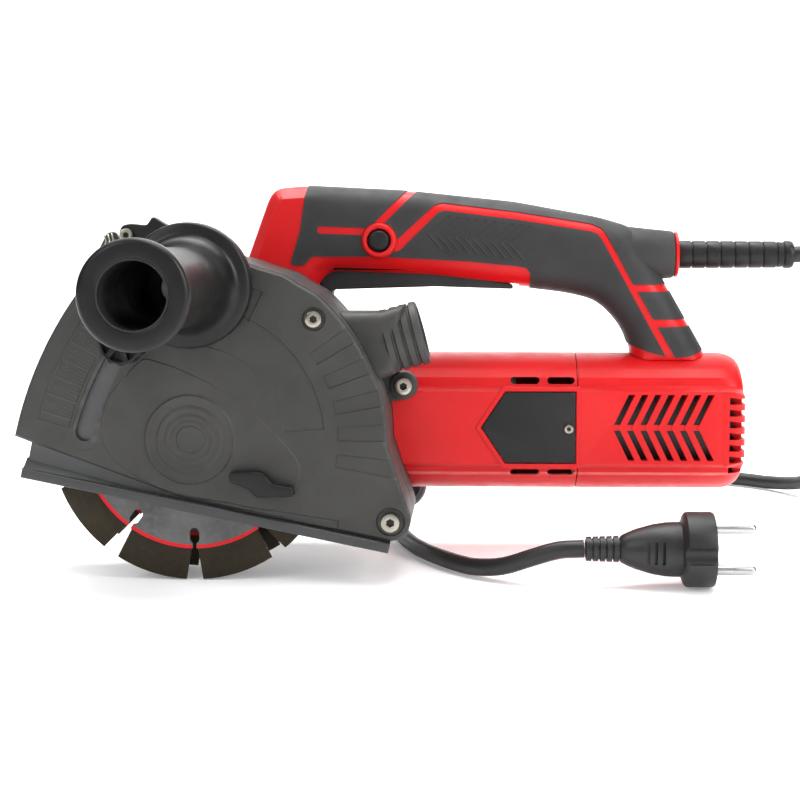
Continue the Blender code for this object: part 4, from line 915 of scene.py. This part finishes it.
def build_housing():
    """The red motor housing: a framed panel and cooling slots on each side."""
    tube = [housing_loop(), circle((MOTOR_Y, 0), MOTOR_R - WALL, 72)]
    housing = outline(tube, HOUSING_START, SEAM - 0.2, "yh", edge=0.35, rounds=1)
    cuts, frames = [], []
    for side in (-1, 1):
        face = MOTOR_Y + side * PANEL_REACH
        cuts.append(outline([hex_loop(0.4)], *sorted((face - side * 1.5, face + side * 3))))
        low, high = sorted((face - side * 12, face + side * 3))
        cuts.append(block((152, low, -7.4), (170, high, 7.4)))
        for level in (22.0, -22.6):
            for first, last in ((148.6, 159.4), (166.6, 176.4)):
                low, high = sorted((face - side, MOTOR_Y + side * 20))
                cuts.append(outline([capsule((first, level), (last, level), 1.75)], low - 3, high + 3))
        low, high = sorted((face + side * 0.3, face - side * 4))
        frames.append(outline([fillet(hex_loop(2.6), 1.0, 3), hex_loop(0.4)], low, high, edge=0.3))
    cuts.append(rod(at(LUG, 40), "Y", 7.0, 8))
    cuts.append(outline([guard_loop(-GAP)], -5, GUARD_DEPTH + GAP))
    housing = shaped(shaped(housing, joins=frames), cuts=cuts)
    add("motor_barrel", "root", "red_plastic", ["motor_housing"], (housing, RED), angle=24)


VENT_PITCH = 6.35                      # between the side vents' arrows
TOOTH_PITCH = 5.7                      # between the teeth of the cover's end


def build_rear_cover():
    """The housing's rear shell, with arrow-shaped side vents and a toothed end."""
    rings, rounding = [], 11.0
    marks = [(SEAM + 0.15, 0.3), (SEAM + 0.5, 0.0), (247.6, 0.0)]
    marks += [(HOUSING_END - rounding + rounding * math.sin(a), rounding * 0.62 * (1 - math.cos(a)))
              for a in [math.pi / 2 * index / 10 for index in range(1, 11)]]
    for along, inset in marks:
        rings.append([(along, y, h) for y, h in housing_loop(inset)])
    count = len(rings[0])
    verts = [point for ring in rings for point in ring]
    faces = [(i + j, i + (j + 1) % count, i + count + (j + 1) % count, i + count + j)
             for i in range(0, len(verts) - count, count) for j in range(count)]
    faces += [tuple(range(count)), tuple(range(len(verts) - count, len(verts)))]
    cover = outward(mesh_of(verts, faces))
    hollow = rod((SEAM - 5, MOTOR_Y, 0), "X", MOTOR_R - WALL, HOUSING_END - SEAM + 5 - WALL - 2, 72)
    tools, panels = [], []
    for side in (-1, 1):
        outer = MOTOR_Y + side * PANEL_REACH
        low, high = sorted((MOTOR_Y + side * 22, outer + side * 2))
        for index in range(7):
            front = 195.8 + VENT_PITCH * index
            for way in (1, -1):
                loop = [(front + 0.9, way * 1.4), (front + 8.0, way * 16.0), (front + 11.1, way * 16.0),
                        (front + 4.0, way * 1.4)]
                tools.append(outline([loop], low, high))
            dip = [(front, 0), (front + 0.9, 1.6), (front + 4.0, 1.6), (front + 3.2, 0),
                   (front + 4.0, -1.6), (front + 0.9, -1.6)]
            tools.append(outline([dip], *sorted((outer + side * 0.4, outer - side * 0.7))))
        low, high = sorted((outer + side * 3, outer - side * 1.3))
        panels.append(block((249.4, low, -26), (266, high, 17.3)))
        for index in range(7):
            level = 14.6 - TOOTH_PITCH * index
            tooth = [(252.5, level), (264, level - 1.2), (264, level - 3.4), (252.5, level - 3.4)]
            low, high = sorted((outer + side * 4, MOTOR_Y + side * 17))
            tools.append(outline([tooth], low, high))
    cover = shaped(shaped(cover, cuts=[hollow] + panels), cuts=tools)
    add("rear_shell", "root", "red_plastic", ["rear_cover"], (cover, RED), angle=24)
    # A black sleeve just inside the rear shell behind the vents: painted shade seen through the vent openings,
    # hiding the parts within.
    bands = [circle((MOTOR_Y, 0), MOTOR_R - WALL - depth, 64) for depth in (0.3, 1.2)]
    shade_sleeve = outline(bands, SEAM + 8, HOUSING_END - 8, "yh")
    add("vent_shade_sleeve", "root", "black_plastic", [], (shade_sleeve, BLACK))


def build_brush_caps():
    """The brush covers, let into the housing's two panels."""
    for side, name in ((-1, "near"), (1, "far")):
        face = MOTOR_Y + side * PANEL_REACH
        low, high = sorted((face - side * 1.35, face + side * 0.35))
        cap = outline([fillet(hex_loop(0), 0.8, 3)], low, high, edge=0.5)
        low, high = sorted((face + side * 0.2, face + side * 2))
        facet = outline([[(172.5, 20), (179.5, 8.5), (182, 20)]], low, high)
        corner = outline([[(173.5, -20), (179.5, -11.5), (182, -20)]], low, high)
        hole = rod(at(BRUSH_SCREW, face - 6), "Y", 2.6, 12)
        cap = shaped(cap, cuts=[facet, corner, hole])
        add("brush_cap_" + name, "root", "black_plastic", ["brush_cover_" + name], (cap, BLACK))


def build_gear_case():
    """The alloy gear case: a round drum on the spindle and a barrel to the motor."""
    case = rod((0, GUARD_DEPTH + GAP, 0), "Y", 37.0, 111.0 - GUARD_DEPTH - GAP, 96, edge=3.0)
    barrel = outline([housing_loop()], 0, HOUSING_START - GAP, "yh", edge=0.5)
    above = block((-60, 20, -60), (120, GUARD_DEPTH + GAP, 60))
    barrel = shaped(barrel, cuts=[above])
    neck = rod((0, 57.6, 0), "Y", 23.7, 10)
    boss = turned((0, 0, 0), "Y", [(16.0, 104), (16.0, 110.2), (15.2, 110.9)])
    case = shaped(case, joins=[barrel, neck, boss])
    fins = [block((-30, 110.2, level - 0.9), (30, 112, level + 0.9)) for level in (-24, -18, 18, 24)]
    bores = [rod((0, start, 0), "Y", radius, length)
             for start, radius, length in ((64.6, 29.5, 37), (90, 11.3, 17.8), (50, 14.3, 20))]
    bores += [rod((20, MOTOR_Y, 0), "X", 11.3, 70), rod((60, MOTOR_Y, 0), "X", 18.5, 40)]
    add("gear_housing", "root", "gear_case_alloy", ["gear_case"], (shaped(case, cuts=bores + fins), ALLOY))


def build_roller():
    rim = turned(at(PIVOT, 0), "Y", [(9.3, 103.7), (11.6, 103.7), (12.7, 104.8), (12.7, 112.2),
                                                (11.6, 113.3), (9.3, 113.3)], closed=True)
    hub = turned(at(PIVOT, 0), "Y", [(3.3, 104.5), (9.5, 105.0), (9.5, 112.0), (3.3, 112.5)], closed=True)
    add("guide_roller", "roller", "black_plastic", ["support_roller"], (rim, ROLLER), (hub, BLACK))


def build_front_handle():
    """The hollow front handle, turned about its bolt's axis."""
    profile = [(13.8, -118.5), (14.2, -118.9), (14.8, -119.0), (19.6, -119.0), (20.2, -118.8), (21.2, -117.9),
               (21.6, -117.2), (21.7, -116.2), (21.7, -114.6), (21.4, -113.6), (20.8, -112.8), (18.8, -111.6),
               (17.8, -110.2), (17.4, -108.0), (17.4, -60.0), (17.4, -30.0), (17.6, -26.0), (18.2, -22.4),
               (19.2, -19.0), (20.6, -16.0), (22.0, -14.2), (23.4, -13.2), (24.4, -12.9), (26.6, -12.5),
               (27.6, -12.0), (28.1, -11.2), (28.2, -10.2), (28.2, -5.2), (27.6, -4.2), (14.0, -4.0),
               (14.0, -0.3), (4.4, -0.3), (4.4, -30.0), (13.8, -30.0)]
    handle = turned(at(AUX, 0), "Y", profile, 128, closed=True)
    lining = [(13.2, -118.9), (13.9, -118.9), (13.9, -117.9), (13.5, -30.1), (13.2, -30.1)]
    liner = turned(at(AUX, 0), "Y", lining, 96, closed=True)
    add("front_grip", "root", "grip_rubber", ["aux_handle"], (handle, RUBBER), (liner, BLACK), angle=38)


# ---------------------------------------------------------------- main handle

def handle_loop():
    """The D-shaped handle: front post, grip and rear leg, as one outline."""
    loop = [(4, 28), (8, 52), (14.7, 78), (27, 112), (31, 116.2), (45, 117.2), (95, 114.7), (149.1, 109),
            (190, 101.5), (207, 96.6), (214.8, 84.0), (224.8, 67.2), (243.7, 34.2), (247, 24), (205, 24),
            (207.6, 34.5), (203, 47), (195.6, 56), (188.1, 61.5), (175, 64.6), (158, 66.7), (107, 72.4),
            (57.8, 74.0), (53.0, 68.8), (49.5, 62), (40.5, 48), (37, 28)]
    return fillet(loop, 5.0, 4)


STRIPE_TOP = [(89.0, 88.6), (109.4, 107.2), (113.2, 108.5), (150.5, 103.9), (186.5, 98.2), (191.5, 96.0),
              (194.2, 92.3), (206.8, 69.1), (228.2, 32.4), (231, 27)]
STRIPE_LOW = [(226.5, 27), (223.5, 33.1), (191.7, 90.6), (189.6, 93.2), (186.2, 94.5), (150.5, 100.2),
              (114.4, 104.7), (111.4, 103.8), (92.8, 85.4), (90.4, 84.4)]
RED_STRIPES = [
    capsule((53.6, 95.3), (78.0, 94.4), 1.75), circle(LOCK, 8.9, 64),
    [(76.5, 94.5), (79.8, 98.6), (99.4, 118.4), (104.8, 118.4), (84.6, 98.2), (84.0, 92.0)],
    STRIPE_TOP + STRIPE_LOW,
    [(205.4, 68.4), (252, 68.4), (252, 64.9), (207.4, 64.9)],
    [(214.6, 51.3), (262, 51.3), (262, 47.6), (216.8, 47.6)]]
OVERMOLD = [(46.6, 124), (46.6, 116.5), (43.3, 94.5), (38.7, 79.4), (39.6, 78.0), (44.6, 77.8), (46.0, 78.6),
            (48.4, 81.6), (50.0, 82.2), (77, 82.2), (90.3, 81.8), (126.3, 79.9), (150, 77.6), (154.6, 76.8),
            (156.6, 74.4), (156.8, 60), (190, 46), (202.5, 42.3), (206.8, 38.6), (214.5, 35.5), (223.5, 33.1),
            (228.2, 32.4), (235.8, 33.2), (242.2, 35.6), (262, 52), (236, 112), (205, 128)]
SEAM_HALF = 2.0                        # half width of the handle's flat edge along its seam


def handle_side(flat, edge):
    """Half width of the handle at each point: chamfered post in front, rounded grip behind."""
    away = distance_to(flat, edge)
    across, up = flat[:, 0], flat[:, 1]
    full = GRIP_HALF - SEAM_HALF
    round_reach = 14.5
    share = np.clip(away / round_reach, 0, 1)
    grip = full * (1 - (1 - share) ** 2.3) ** (1 / 2.0)
    share = np.clip(away / 6.0, 0, 1)
    post = full * (0.45 + 0.55 * share)
    post *= np.clip(away / 0.8, 0, 1) ** 0.5
    blend = step_up((across - 33 - (up - 80) * 0.25) / 20)
    return SEAM_HALF + post * (1 - blend) + grip * blend


def build_handle():
    """One seamless red body under a dark overmould that leaves its red stripes open."""
    regions = [OVERMOLD] + RED_STRIPES
    rings = (0.25, 0.7, 1.3, 2.1, 3.1, 4.4, 6.0, 8.0, 10.4, 13.2)
    flat, faces, edge = flat_net(handle_loop(), regions, 2.2, rings)
    half = handle_side(flat, edge)
    verts, polygons, walls = slab(flat, faces, MOTOR_Y - half, MOTOR_Y + half)
    body = mesh_of(verts, polygons + walls)
    gland = turned((0, MOTOR_Y, GLAND_H), "X",
                   [(15.2, 190), (15.0, 196), (13.0, 215), (11.7, 227.4), (11.2, 228.2)], 72)
    seat = outline([circle((MOTOR_Y, 0), MOTOR_R + 0.35, 96)], 0, 300, "yh")
    front_seat = rod((0, 40, 0), "Y", 37.3, 90, 96)
    slot = block((50.9, MOTOR_Y - 7.2, 50), (151.5, MOTOR_Y + 7.2, 81.5))
    bay = block((59, MOTOR_Y - 10.5, 75.5), (108, MOTOR_Y + 10.5, 106))
    button = rod(at(LOCK, 50), "Y", 5.7, 26)
    guard = outline([guard_loop(-GAP)], -5, GUARD_DEPTH + GAP)
    body = shaped(outward(body), cuts=[seat, front_seat, slot, bay, button, guard])
    centres = flat[faces].mean(1)
    dark = inside(centres, OVERMOLD)
    for stripe in RED_STRIPES:
        dark &= ~inside(centres, stripe)
    chosen = set(map(tuple, faces[dark].tolist()))
    sides = {(a, b) for face in chosen for a, b in zip(face, face[1:] + face[:1])}
    kept = [list(face) for face in chosen]
    kept += [[c + len(flat), b + len(flat), a + len(flat)] for a, b, c in chosen]
    kept += [wall for wall in walls if (wall[1], wall[0]) in sides]
    skin = mesh_of(verts, kept)
    work = bmesh.new()
    work.from_mesh(skin)
    bmesh.ops.delete(work, geom=[v for v in work.verts if not v.link_faces], context="VERTS")
    work.to_mesh(skin)
    work.free()
    over = placed("work", skin)
    wall = over.modifiers.new("wall", "SOLIDIFY")
    wall.thickness = 0.9
    wall.offset = 0.0
    skin = evaluated(over)
    add("handle_body", "root", "red_plastic", ["handle_near", "handle_far"], (body, RED), angle=40)
    add("handle_overmould", "root", "grip_rubber", ["grip_pad_near", "grip_pad_far"], (skin, GRIP),
        (gland, GRIP), angle=40)


RIB_PITCH, RIB_DROP = 4.43, 0.53       # from one arrow rib to the next, back and down
RIB_RISE = 0.38                        # how far a rib's middle stands off the grip


def build_grip_texture():
    """Arrow ribs and small dashes moulded into both sides of the grip."""
    edge = resample(handle_loop(), 2.0)
    ribs, dashes = [], []
    for index in range(10):
        across = 116.8 + RIB_PITCH * index
        up = 101.8 - RIB_DROP * index
        spots = [(across - 0.6, up - 0.9), (across - 10.0, up - 8.6), (across - 3.6, up - 16.2),
                 (across - 2.6, up - 16.4)]
        for side in (-1, 1):
            for first, last, radius in ((0, 1, 0.28), (1, 2, 0.5), (2, 3, 0.4)):
                line = [Vector(spots[first]).lerp(Vector(spots[last]), share / 8) for share in range(9)]
                half = handle_side(np.array(line), edge)
                spine = [at(spot, MOTOR_Y + side * (reach + RIB_RISE)) for spot, reach in zip(line, half)]
                ribs.append(evaluated(round_wire("work", spine, radius, 2)))
            centre = Vector((across, up))
            half = handle_side(np.array([centre]), edge)[0] + 0.42
            low, high = sorted((MOTOR_Y + side * (half - 1), MOTOR_Y + side * (half + 0.12)))
            dash = capsule(centre - Vector((0.75, 0)), centre + Vector((0.75, -0.1)), 0.38, 4)
            dashes.append(outline([dash], low, high))
    add("grip_ribs", "root", "grip_rubber", [], (joined(*ribs), GRIP), (joined(*dashes), DARK))


def build_controls():
    ring = turned(at(LOCK, 0), "Y", [(5.75, 67), (5.75, 62.6), (6.2, 62.0), (7.6, 61.9), (8.3, 62.6),
                                               (8.9, 64.4), (9.2, 66.5), (9.2, 68)], 72, closed=True)
    add("lock_collar", "root", "red_plastic", [], (ring, RED), angle=50)
    button = turned(at(LOCK, 0), "Y",
                    [(3.9, 60.8), (4.4, 61.0), (5.0, 61.8), (5.2, 62.8), (5.2, 66.6)], 64)
    add("lock_cap", "lock_button", "black_plastic", ["lock_button"], (button, BLACK), angle=50)
    paddle = [(53.2, 81.0), (52.2, 76), (51.6, 61.5), (57.2, 59.4), (58.6, 65.6), (110, 67.2), (148.4, 66.0),
              (148.4, 68.2), (112, 76.2), (58.4, 78.8), (57.2, 81.0)]
    blade = outline([fillet(paddle, 1.5)], MOTOR_Y - 6.6, MOTOR_Y + 6.6, edge=0.9)
    pin = rod((55.2, MOTOR_Y - 11.5, 77.5), "Y", 1.7, 23)
    add("trigger_paddle", "trigger", "black_plastic", ["trigger"], (shaped(blade, joins=[pin]), GRIP))


SLEEVE_PITCH = 7.0                     # between the strain relief's rings


def build_strain_relief():
    section = [(4.4, 228.5), (10.6, 228.5), (11.3, 229.0), (11.3, 229.9), (10.6, 230.4), (4.4, 230.4)]
    ring = turned((0, MOTOR_Y, GLAND_H), "X", section, 72, closed=True)
    add("gland_collar", "root", "red_plastic", ["gland_ring"], (ring, RED))
    profile = [(5.0, 230.7)]
    for index in range(7):
        start, radius = 230.8 + SLEEVE_PITCH * index, 6.95 - 0.05 * index
        profile += [(radius - 0.15, start), (radius, start + 0.25), (radius - 0.02, start + 6.0),
                    (radius - 0.2, start + 6.2), (radius - 0.75, start + 6.3), (radius - 0.75, start + 6.8)]
    profile += [(6.4, 279.9), (6.1, 282.6), (6.8, 283.4), (6.95, 284.6), (6.8, 286.4), (6.2, 287.5),
                (4.4, 287.6)]
    sleeve = turned((0, MOTOR_Y, GLAND_H), "X", profile, 64)
    add("cord_sleeve", "root", "black_plastic", ["strain_relief"], (sleeve, BLACK))


# ---------------------------------------------------------------- mains cord and plug

CORD_LOW = FLOOR + CORD_D / 2 + GAP    # the cord's middle where it lies on the floor
COIL = (5.0, 235.0)
COIL_PITCH = 8.6
COIL_OUTER = 55.6
COIL_TURNS = 5.5
COIL_TOP = CORD_LOW + COIL_PITCH
COIL_MEET = 36.0
PLUG_R = 17.0
PIN_OFFSET = 9.5                       # from the plug's middle to each pin
PLUG_START = 180.0
PLUG_LEVEL = PLUG_R + FLOOR + GAP
RUN_ROUTE = [(288.2, MOTOR_Y, 83.1), (300, MOTOR_Y, 82.9), (316, 83, 76), (327, 91, 60), (333, 108, 34),
             (336, 135, 4), (338, 168, -24), (336, 202, -44), (328, 236, -57), (311, 266, CORD_LOW),
             (285, 285, CORD_LOW), (252, 293, CORD_LOW), (215, 295.5, CORD_LOW), (175, 296, CORD_LOW),
             (135, 295.4, CORD_LOW), (98, 293.6, CORD_LOW), (64, 291.6, CORD_LOW),
             (COIL_MEET, COIL[1] + COIL_OUTER, CORD_LOW)]
LEAD_ROUTE = [(COIL_MEET, COIL[1] - COIL_OUTER, COIL_TOP), (52, 178.4, -56), (66, 173, -60.6),
              (78, 160, CORD_LOW), (85, 139, CORD_LOW), (89, 113, CORD_LOW), (94, 86, CORD_LOW),
              (102, 61, CORD_LOW), (113, 40, CORD_LOW), (127, 21, CORD_LOW), (142, 8.6, -59.4),
              (156, 2, -53.8), (168, 0, -49.9), (179.4, 0, PLUG_LEVEL)]


def smooth_route(points, spacing):
    """Points a set distance apart on a smooth curve through the given points."""
    knots = [Vector(point) for point in points]
    knots = [knots[0] * 2 - knots[1]] + knots + [knots[-1] * 2 - knots[-2]]
    fine = []
    for a, b, c, d in zip(knots, knots[1:], knots[2:], knots[3:]):
        for step in range(20):
            t = step / 20
            fine.append(0.5 * ((2 * b) + (c - a) * t + (2 * a - 5 * b + 4 * c - d) * t ** 2
                               + (3 * b - a - 3 * c + d) * t ** 3))
    fine.append(knots[-2])
    total = sum((q - p).length for p, q in zip(fine, fine[1:]))
    count = round(total / spacing)
    picked, walked, target = [fine[0]], 0.0, total / count
    for p, q in zip(fine, fine[1:]):
        walked += (q - p).length
        if walked >= target * len(picked) and len(picked) < count:
            picked.append(q)
    picked.append(fine[-1])
    return [Vector((point.x, point.y, max(point.z, CORD_LOW))) for point in picked]


def coil_points():
    """The coil: in along the floor to the innermost turn, up, and out again on top."""
    def shift(turn, at, width=0.2):
        return float(step_up((turn - at) / width + 0.5))

    points = []
    per_turn = 60
    for index in range(1, round(COIL_TURNS * per_turn)):
        turn = index / per_turn
        inward = shift(turn, 1) + shift(turn, 2) - shift(turn, 3.5) - shift(turn, 4.5)
        radius = COIL_OUTER - COIL_PITCH * inward
        level = CORD_LOW + COIL_PITCH * shift(turn, 2.8, 0.4)
        angle = math.radians(90) + 2 * math.pi * turn
        points.append(Vector((COIL[0] + radius * math.cos(angle), COIL[1] + radius * math.sin(angle), level)))
    return points


def build_cord():
    far = Vector((COIL[0], COIL[1] + COIL_OUTER, CORD_LOW))
    close = Vector((COIL[0], COIL[1] - COIL_OUTER, COIL_TOP))
    points = smooth_route(RUN_ROUTE, 4.0) + [far + Vector((18, 0, 0)), far]
    points += coil_points() + [close, close + Vector((18, 0, 0))] + smooth_route(LEAD_ROUTE, 4.0)
    cord = round_wire("mains_cord", [TO_FRAME @ point for point in points], CORD_D / 2 * MM, 4)
    cord.data.materials.append(CABLE)
    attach(cord, "root")
    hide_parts("cord_run", "cord_coil", "cord_lead")
    tie = build_tie()
    plug = build_plug()


def build_tie():
    """A strap round the coil's turns."""
    half = CORD_D / 2 + 0.12
    inner, outer = COIL_OUTER - 2 * COIL_PITCH - half, COIL_OUTER + half
    low, high = CORD_LOW - half, COIL_TOP + half
    ring = fillet([(inner, low), (outer, low), (outer, high), (inner, high)], 3.5, 6)
    wide = fillet([(inner - 0.7, low - 0.1), (outer, low - 0.1), (outer, high + 0.7),
                   (inner - 0.7, high + 0.7)], 3.9, 6)
    strap = outline([wide, ring], -5.0, 5.0)
    strap.transform(Matrix.Translation((COIL[0], COIL[1], 0)) @ Matrix.Rotation(math.radians(150), 4, "Z"))
    return add("cord_tie", "root", "black_plastic", [], (strap, BLACK))


def build_plug():
    """A two-pin round plug on its slotted sleeve."""
    start = PLUG_START
    centre = (0, 0, PLUG_LEVEL)
    sleeve = [(4.2, start)]
    for index in range(5):
        at = start + 0.4 + 3.1 * index
        sleeve += [(5.5 + 0.1 * index, at), (5.6 + 0.1 * index, at + 2.2), (4.7, at + 2.3), (4.7, at + 2.9)]
    sleeve += [(5.4, start + 15.6), (6.2, start + 16.2), (7.6, start + 19), (9.2, start + 23),
               (11.2, start + 30), (12.2, start + 36), (12.4, start + 40), (12.4, start + 44.3)]
    grip = turned(centre, "X", sleeve, 64)
    face = [(12.4, start + 43), (15.8, start + 44.3), (16.8, start + 45.2), (PLUG_R, start + 46.4),
            (PLUG_R, start + 56.8), (16.5, start + 57.8), (15.6, start + 58.0)]
    disc = turned(centre, "X", face, 72)
    cuts = []
    for side in (-1, 1):
        cuts.append(rod((start + 40, side * 18.2, PLUG_LEVEL), "X", 4.2, 30))
        for index in range(3):
            groove = start + 27 + 3.4 * index
            cuts.append(block((groove, side * 12 - 3.0, PLUG_LEVEL - 5),
                              (groove + 1.3, side * 12 + 3.0, PLUG_LEVEL + 5)))
    body = shaped(shaped(grip, joins=[disc]), cuts=cuts)
    pin = [(2.4, start + 57), (2.4, start + 75.4), (1.9, start + 76.6), (1.1, start + 77.2)]
    pins = [turned((0, 0, PLUG_LEVEL + side * PIN_OFFSET), "X", pin, 32) for side in (-1, 1)]
    return add("mains_plug", "root", "black_plastic", ["plug_body"], (body, CABLE), (joined(*pins), STEEL))


# ---------------------------------------------------------------- inner parts, studio and camera

def dress_inner_parts():
    """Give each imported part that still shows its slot's finish."""
    slots = {part["node"]: part["material_slot"] for part in frame["record"]["subparts"]}
    for name, obj in frame["nodes"].items():
        obj.data.materials.clear()
        obj.data.materials.append(BY_SLOT[slots[name]])


def light(name, where, aim, power, size):
    """A rectangular lamp, its power in watts and its places in metres."""
    lamp = bpy.data.lights.new(name, "AREA")
    lamp.energy = power
    lamp.shape = "RECTANGLE"
    lamp.size, lamp.size_y = size
    obj = placed(name, lamp)
    obj.location = where
    obj.rotation_euler = (Vector(aim) - Vector(where)).to_track_quat("-Z", "Y").to_euler()


def build_studio():
    """A pale sweep behind and below, and soft lights."""
    rise = arc((2.2, 0.8), 0.8, -90, 0, 12) + [(3.0, 4.0)]
    curve = [(-y - 1.0, z) for y, z in reversed(rise)] + rise
    verts = [(x, y, z - 0.0004) for y, z in curve for x in (-5.0, 5.0)]
    faces = [(2 * i, 2 * i + 1, 2 * i + 3, 2 * i + 2) for i in range(len(curve) - 1)]
    sweep = placed("studio_sweep", mesh_of(verts, faces))
    sweep.data.shade_smooth()
    white = surface("studio_white", (0.93, 0.93, 0.93), 0.8, grain=0.02, mottle=0.005)
    set_inputs(white.node_tree.nodes["Principled BSDF"], Emission_Color=(1, 1, 1, 1), Emission_Strength=0.2)
    sweep.data.materials.append(white)
    world = bpy.data.worlds.new("studio")
    world.use_nodes = True
    set_inputs(world.node_tree.nodes["Background"], Color=(1, 1, 1, 1), Strength=0.08)
    bpy.context.scene.world = world
    bpy.context.scene.view_settings.view_transform = "Standard"
    light("key", (-0.9, -0.9, 1.0), (0, 0, 0.08), 8, (0.5, 0.9))
    light("side", (1.1, -0.6, 0.7), (0, 0, 0.08), 13, (0.25, 1.0))
    light("top", (0.1, 0.1, 1.5), (0, 0.05, 0.1), 21, (1.6, 0.7))
    light("backdrop", (0, 1.0, 2.6), (0, 2.6, 0.6), 160, (4.0, 1.2))


def add_camera():
    eye = TO_FRAME @ Vector((132.5, -681.4, 93.9))
    yaw, pitch = -0.0276, -0.0706
    look = Vector((math.sin(yaw) * math.cos(pitch), math.cos(yaw) * math.cos(pitch), math.sin(pitch)))
    camera = bpy.data.cameras.new("camera")
    camera.sensor_width = 36.0
    camera.lens = 68.2
    camera.shift_x, camera.shift_y = -0.049, -0.075
    camera.clip_start = 0.01
    obj = placed("camera", camera)
    obj.location = eye
    obj.rotation_euler = look.to_track_quat("-Z", "Y").to_euler()
    bpy.context.scene.camera = obj


add_camera()
build_studio()
dress_inner_parts()
build_cord()
build_cover()
build_scale()
build_guard_shell()
build_port()
build_shoe()
build_knob()
build_latch()
build_lever()
build_screws()
build_blade("blade_near", 9.0, 0.0)
build_blade("blade_far", 37.5, 0.0)
build_housing()
build_rear_cover()
build_brush_caps()
build_gear_case()
build_roller()
build_front_handle()
build_handle()
build_grip_texture()
build_controls()
build_strain_relief()
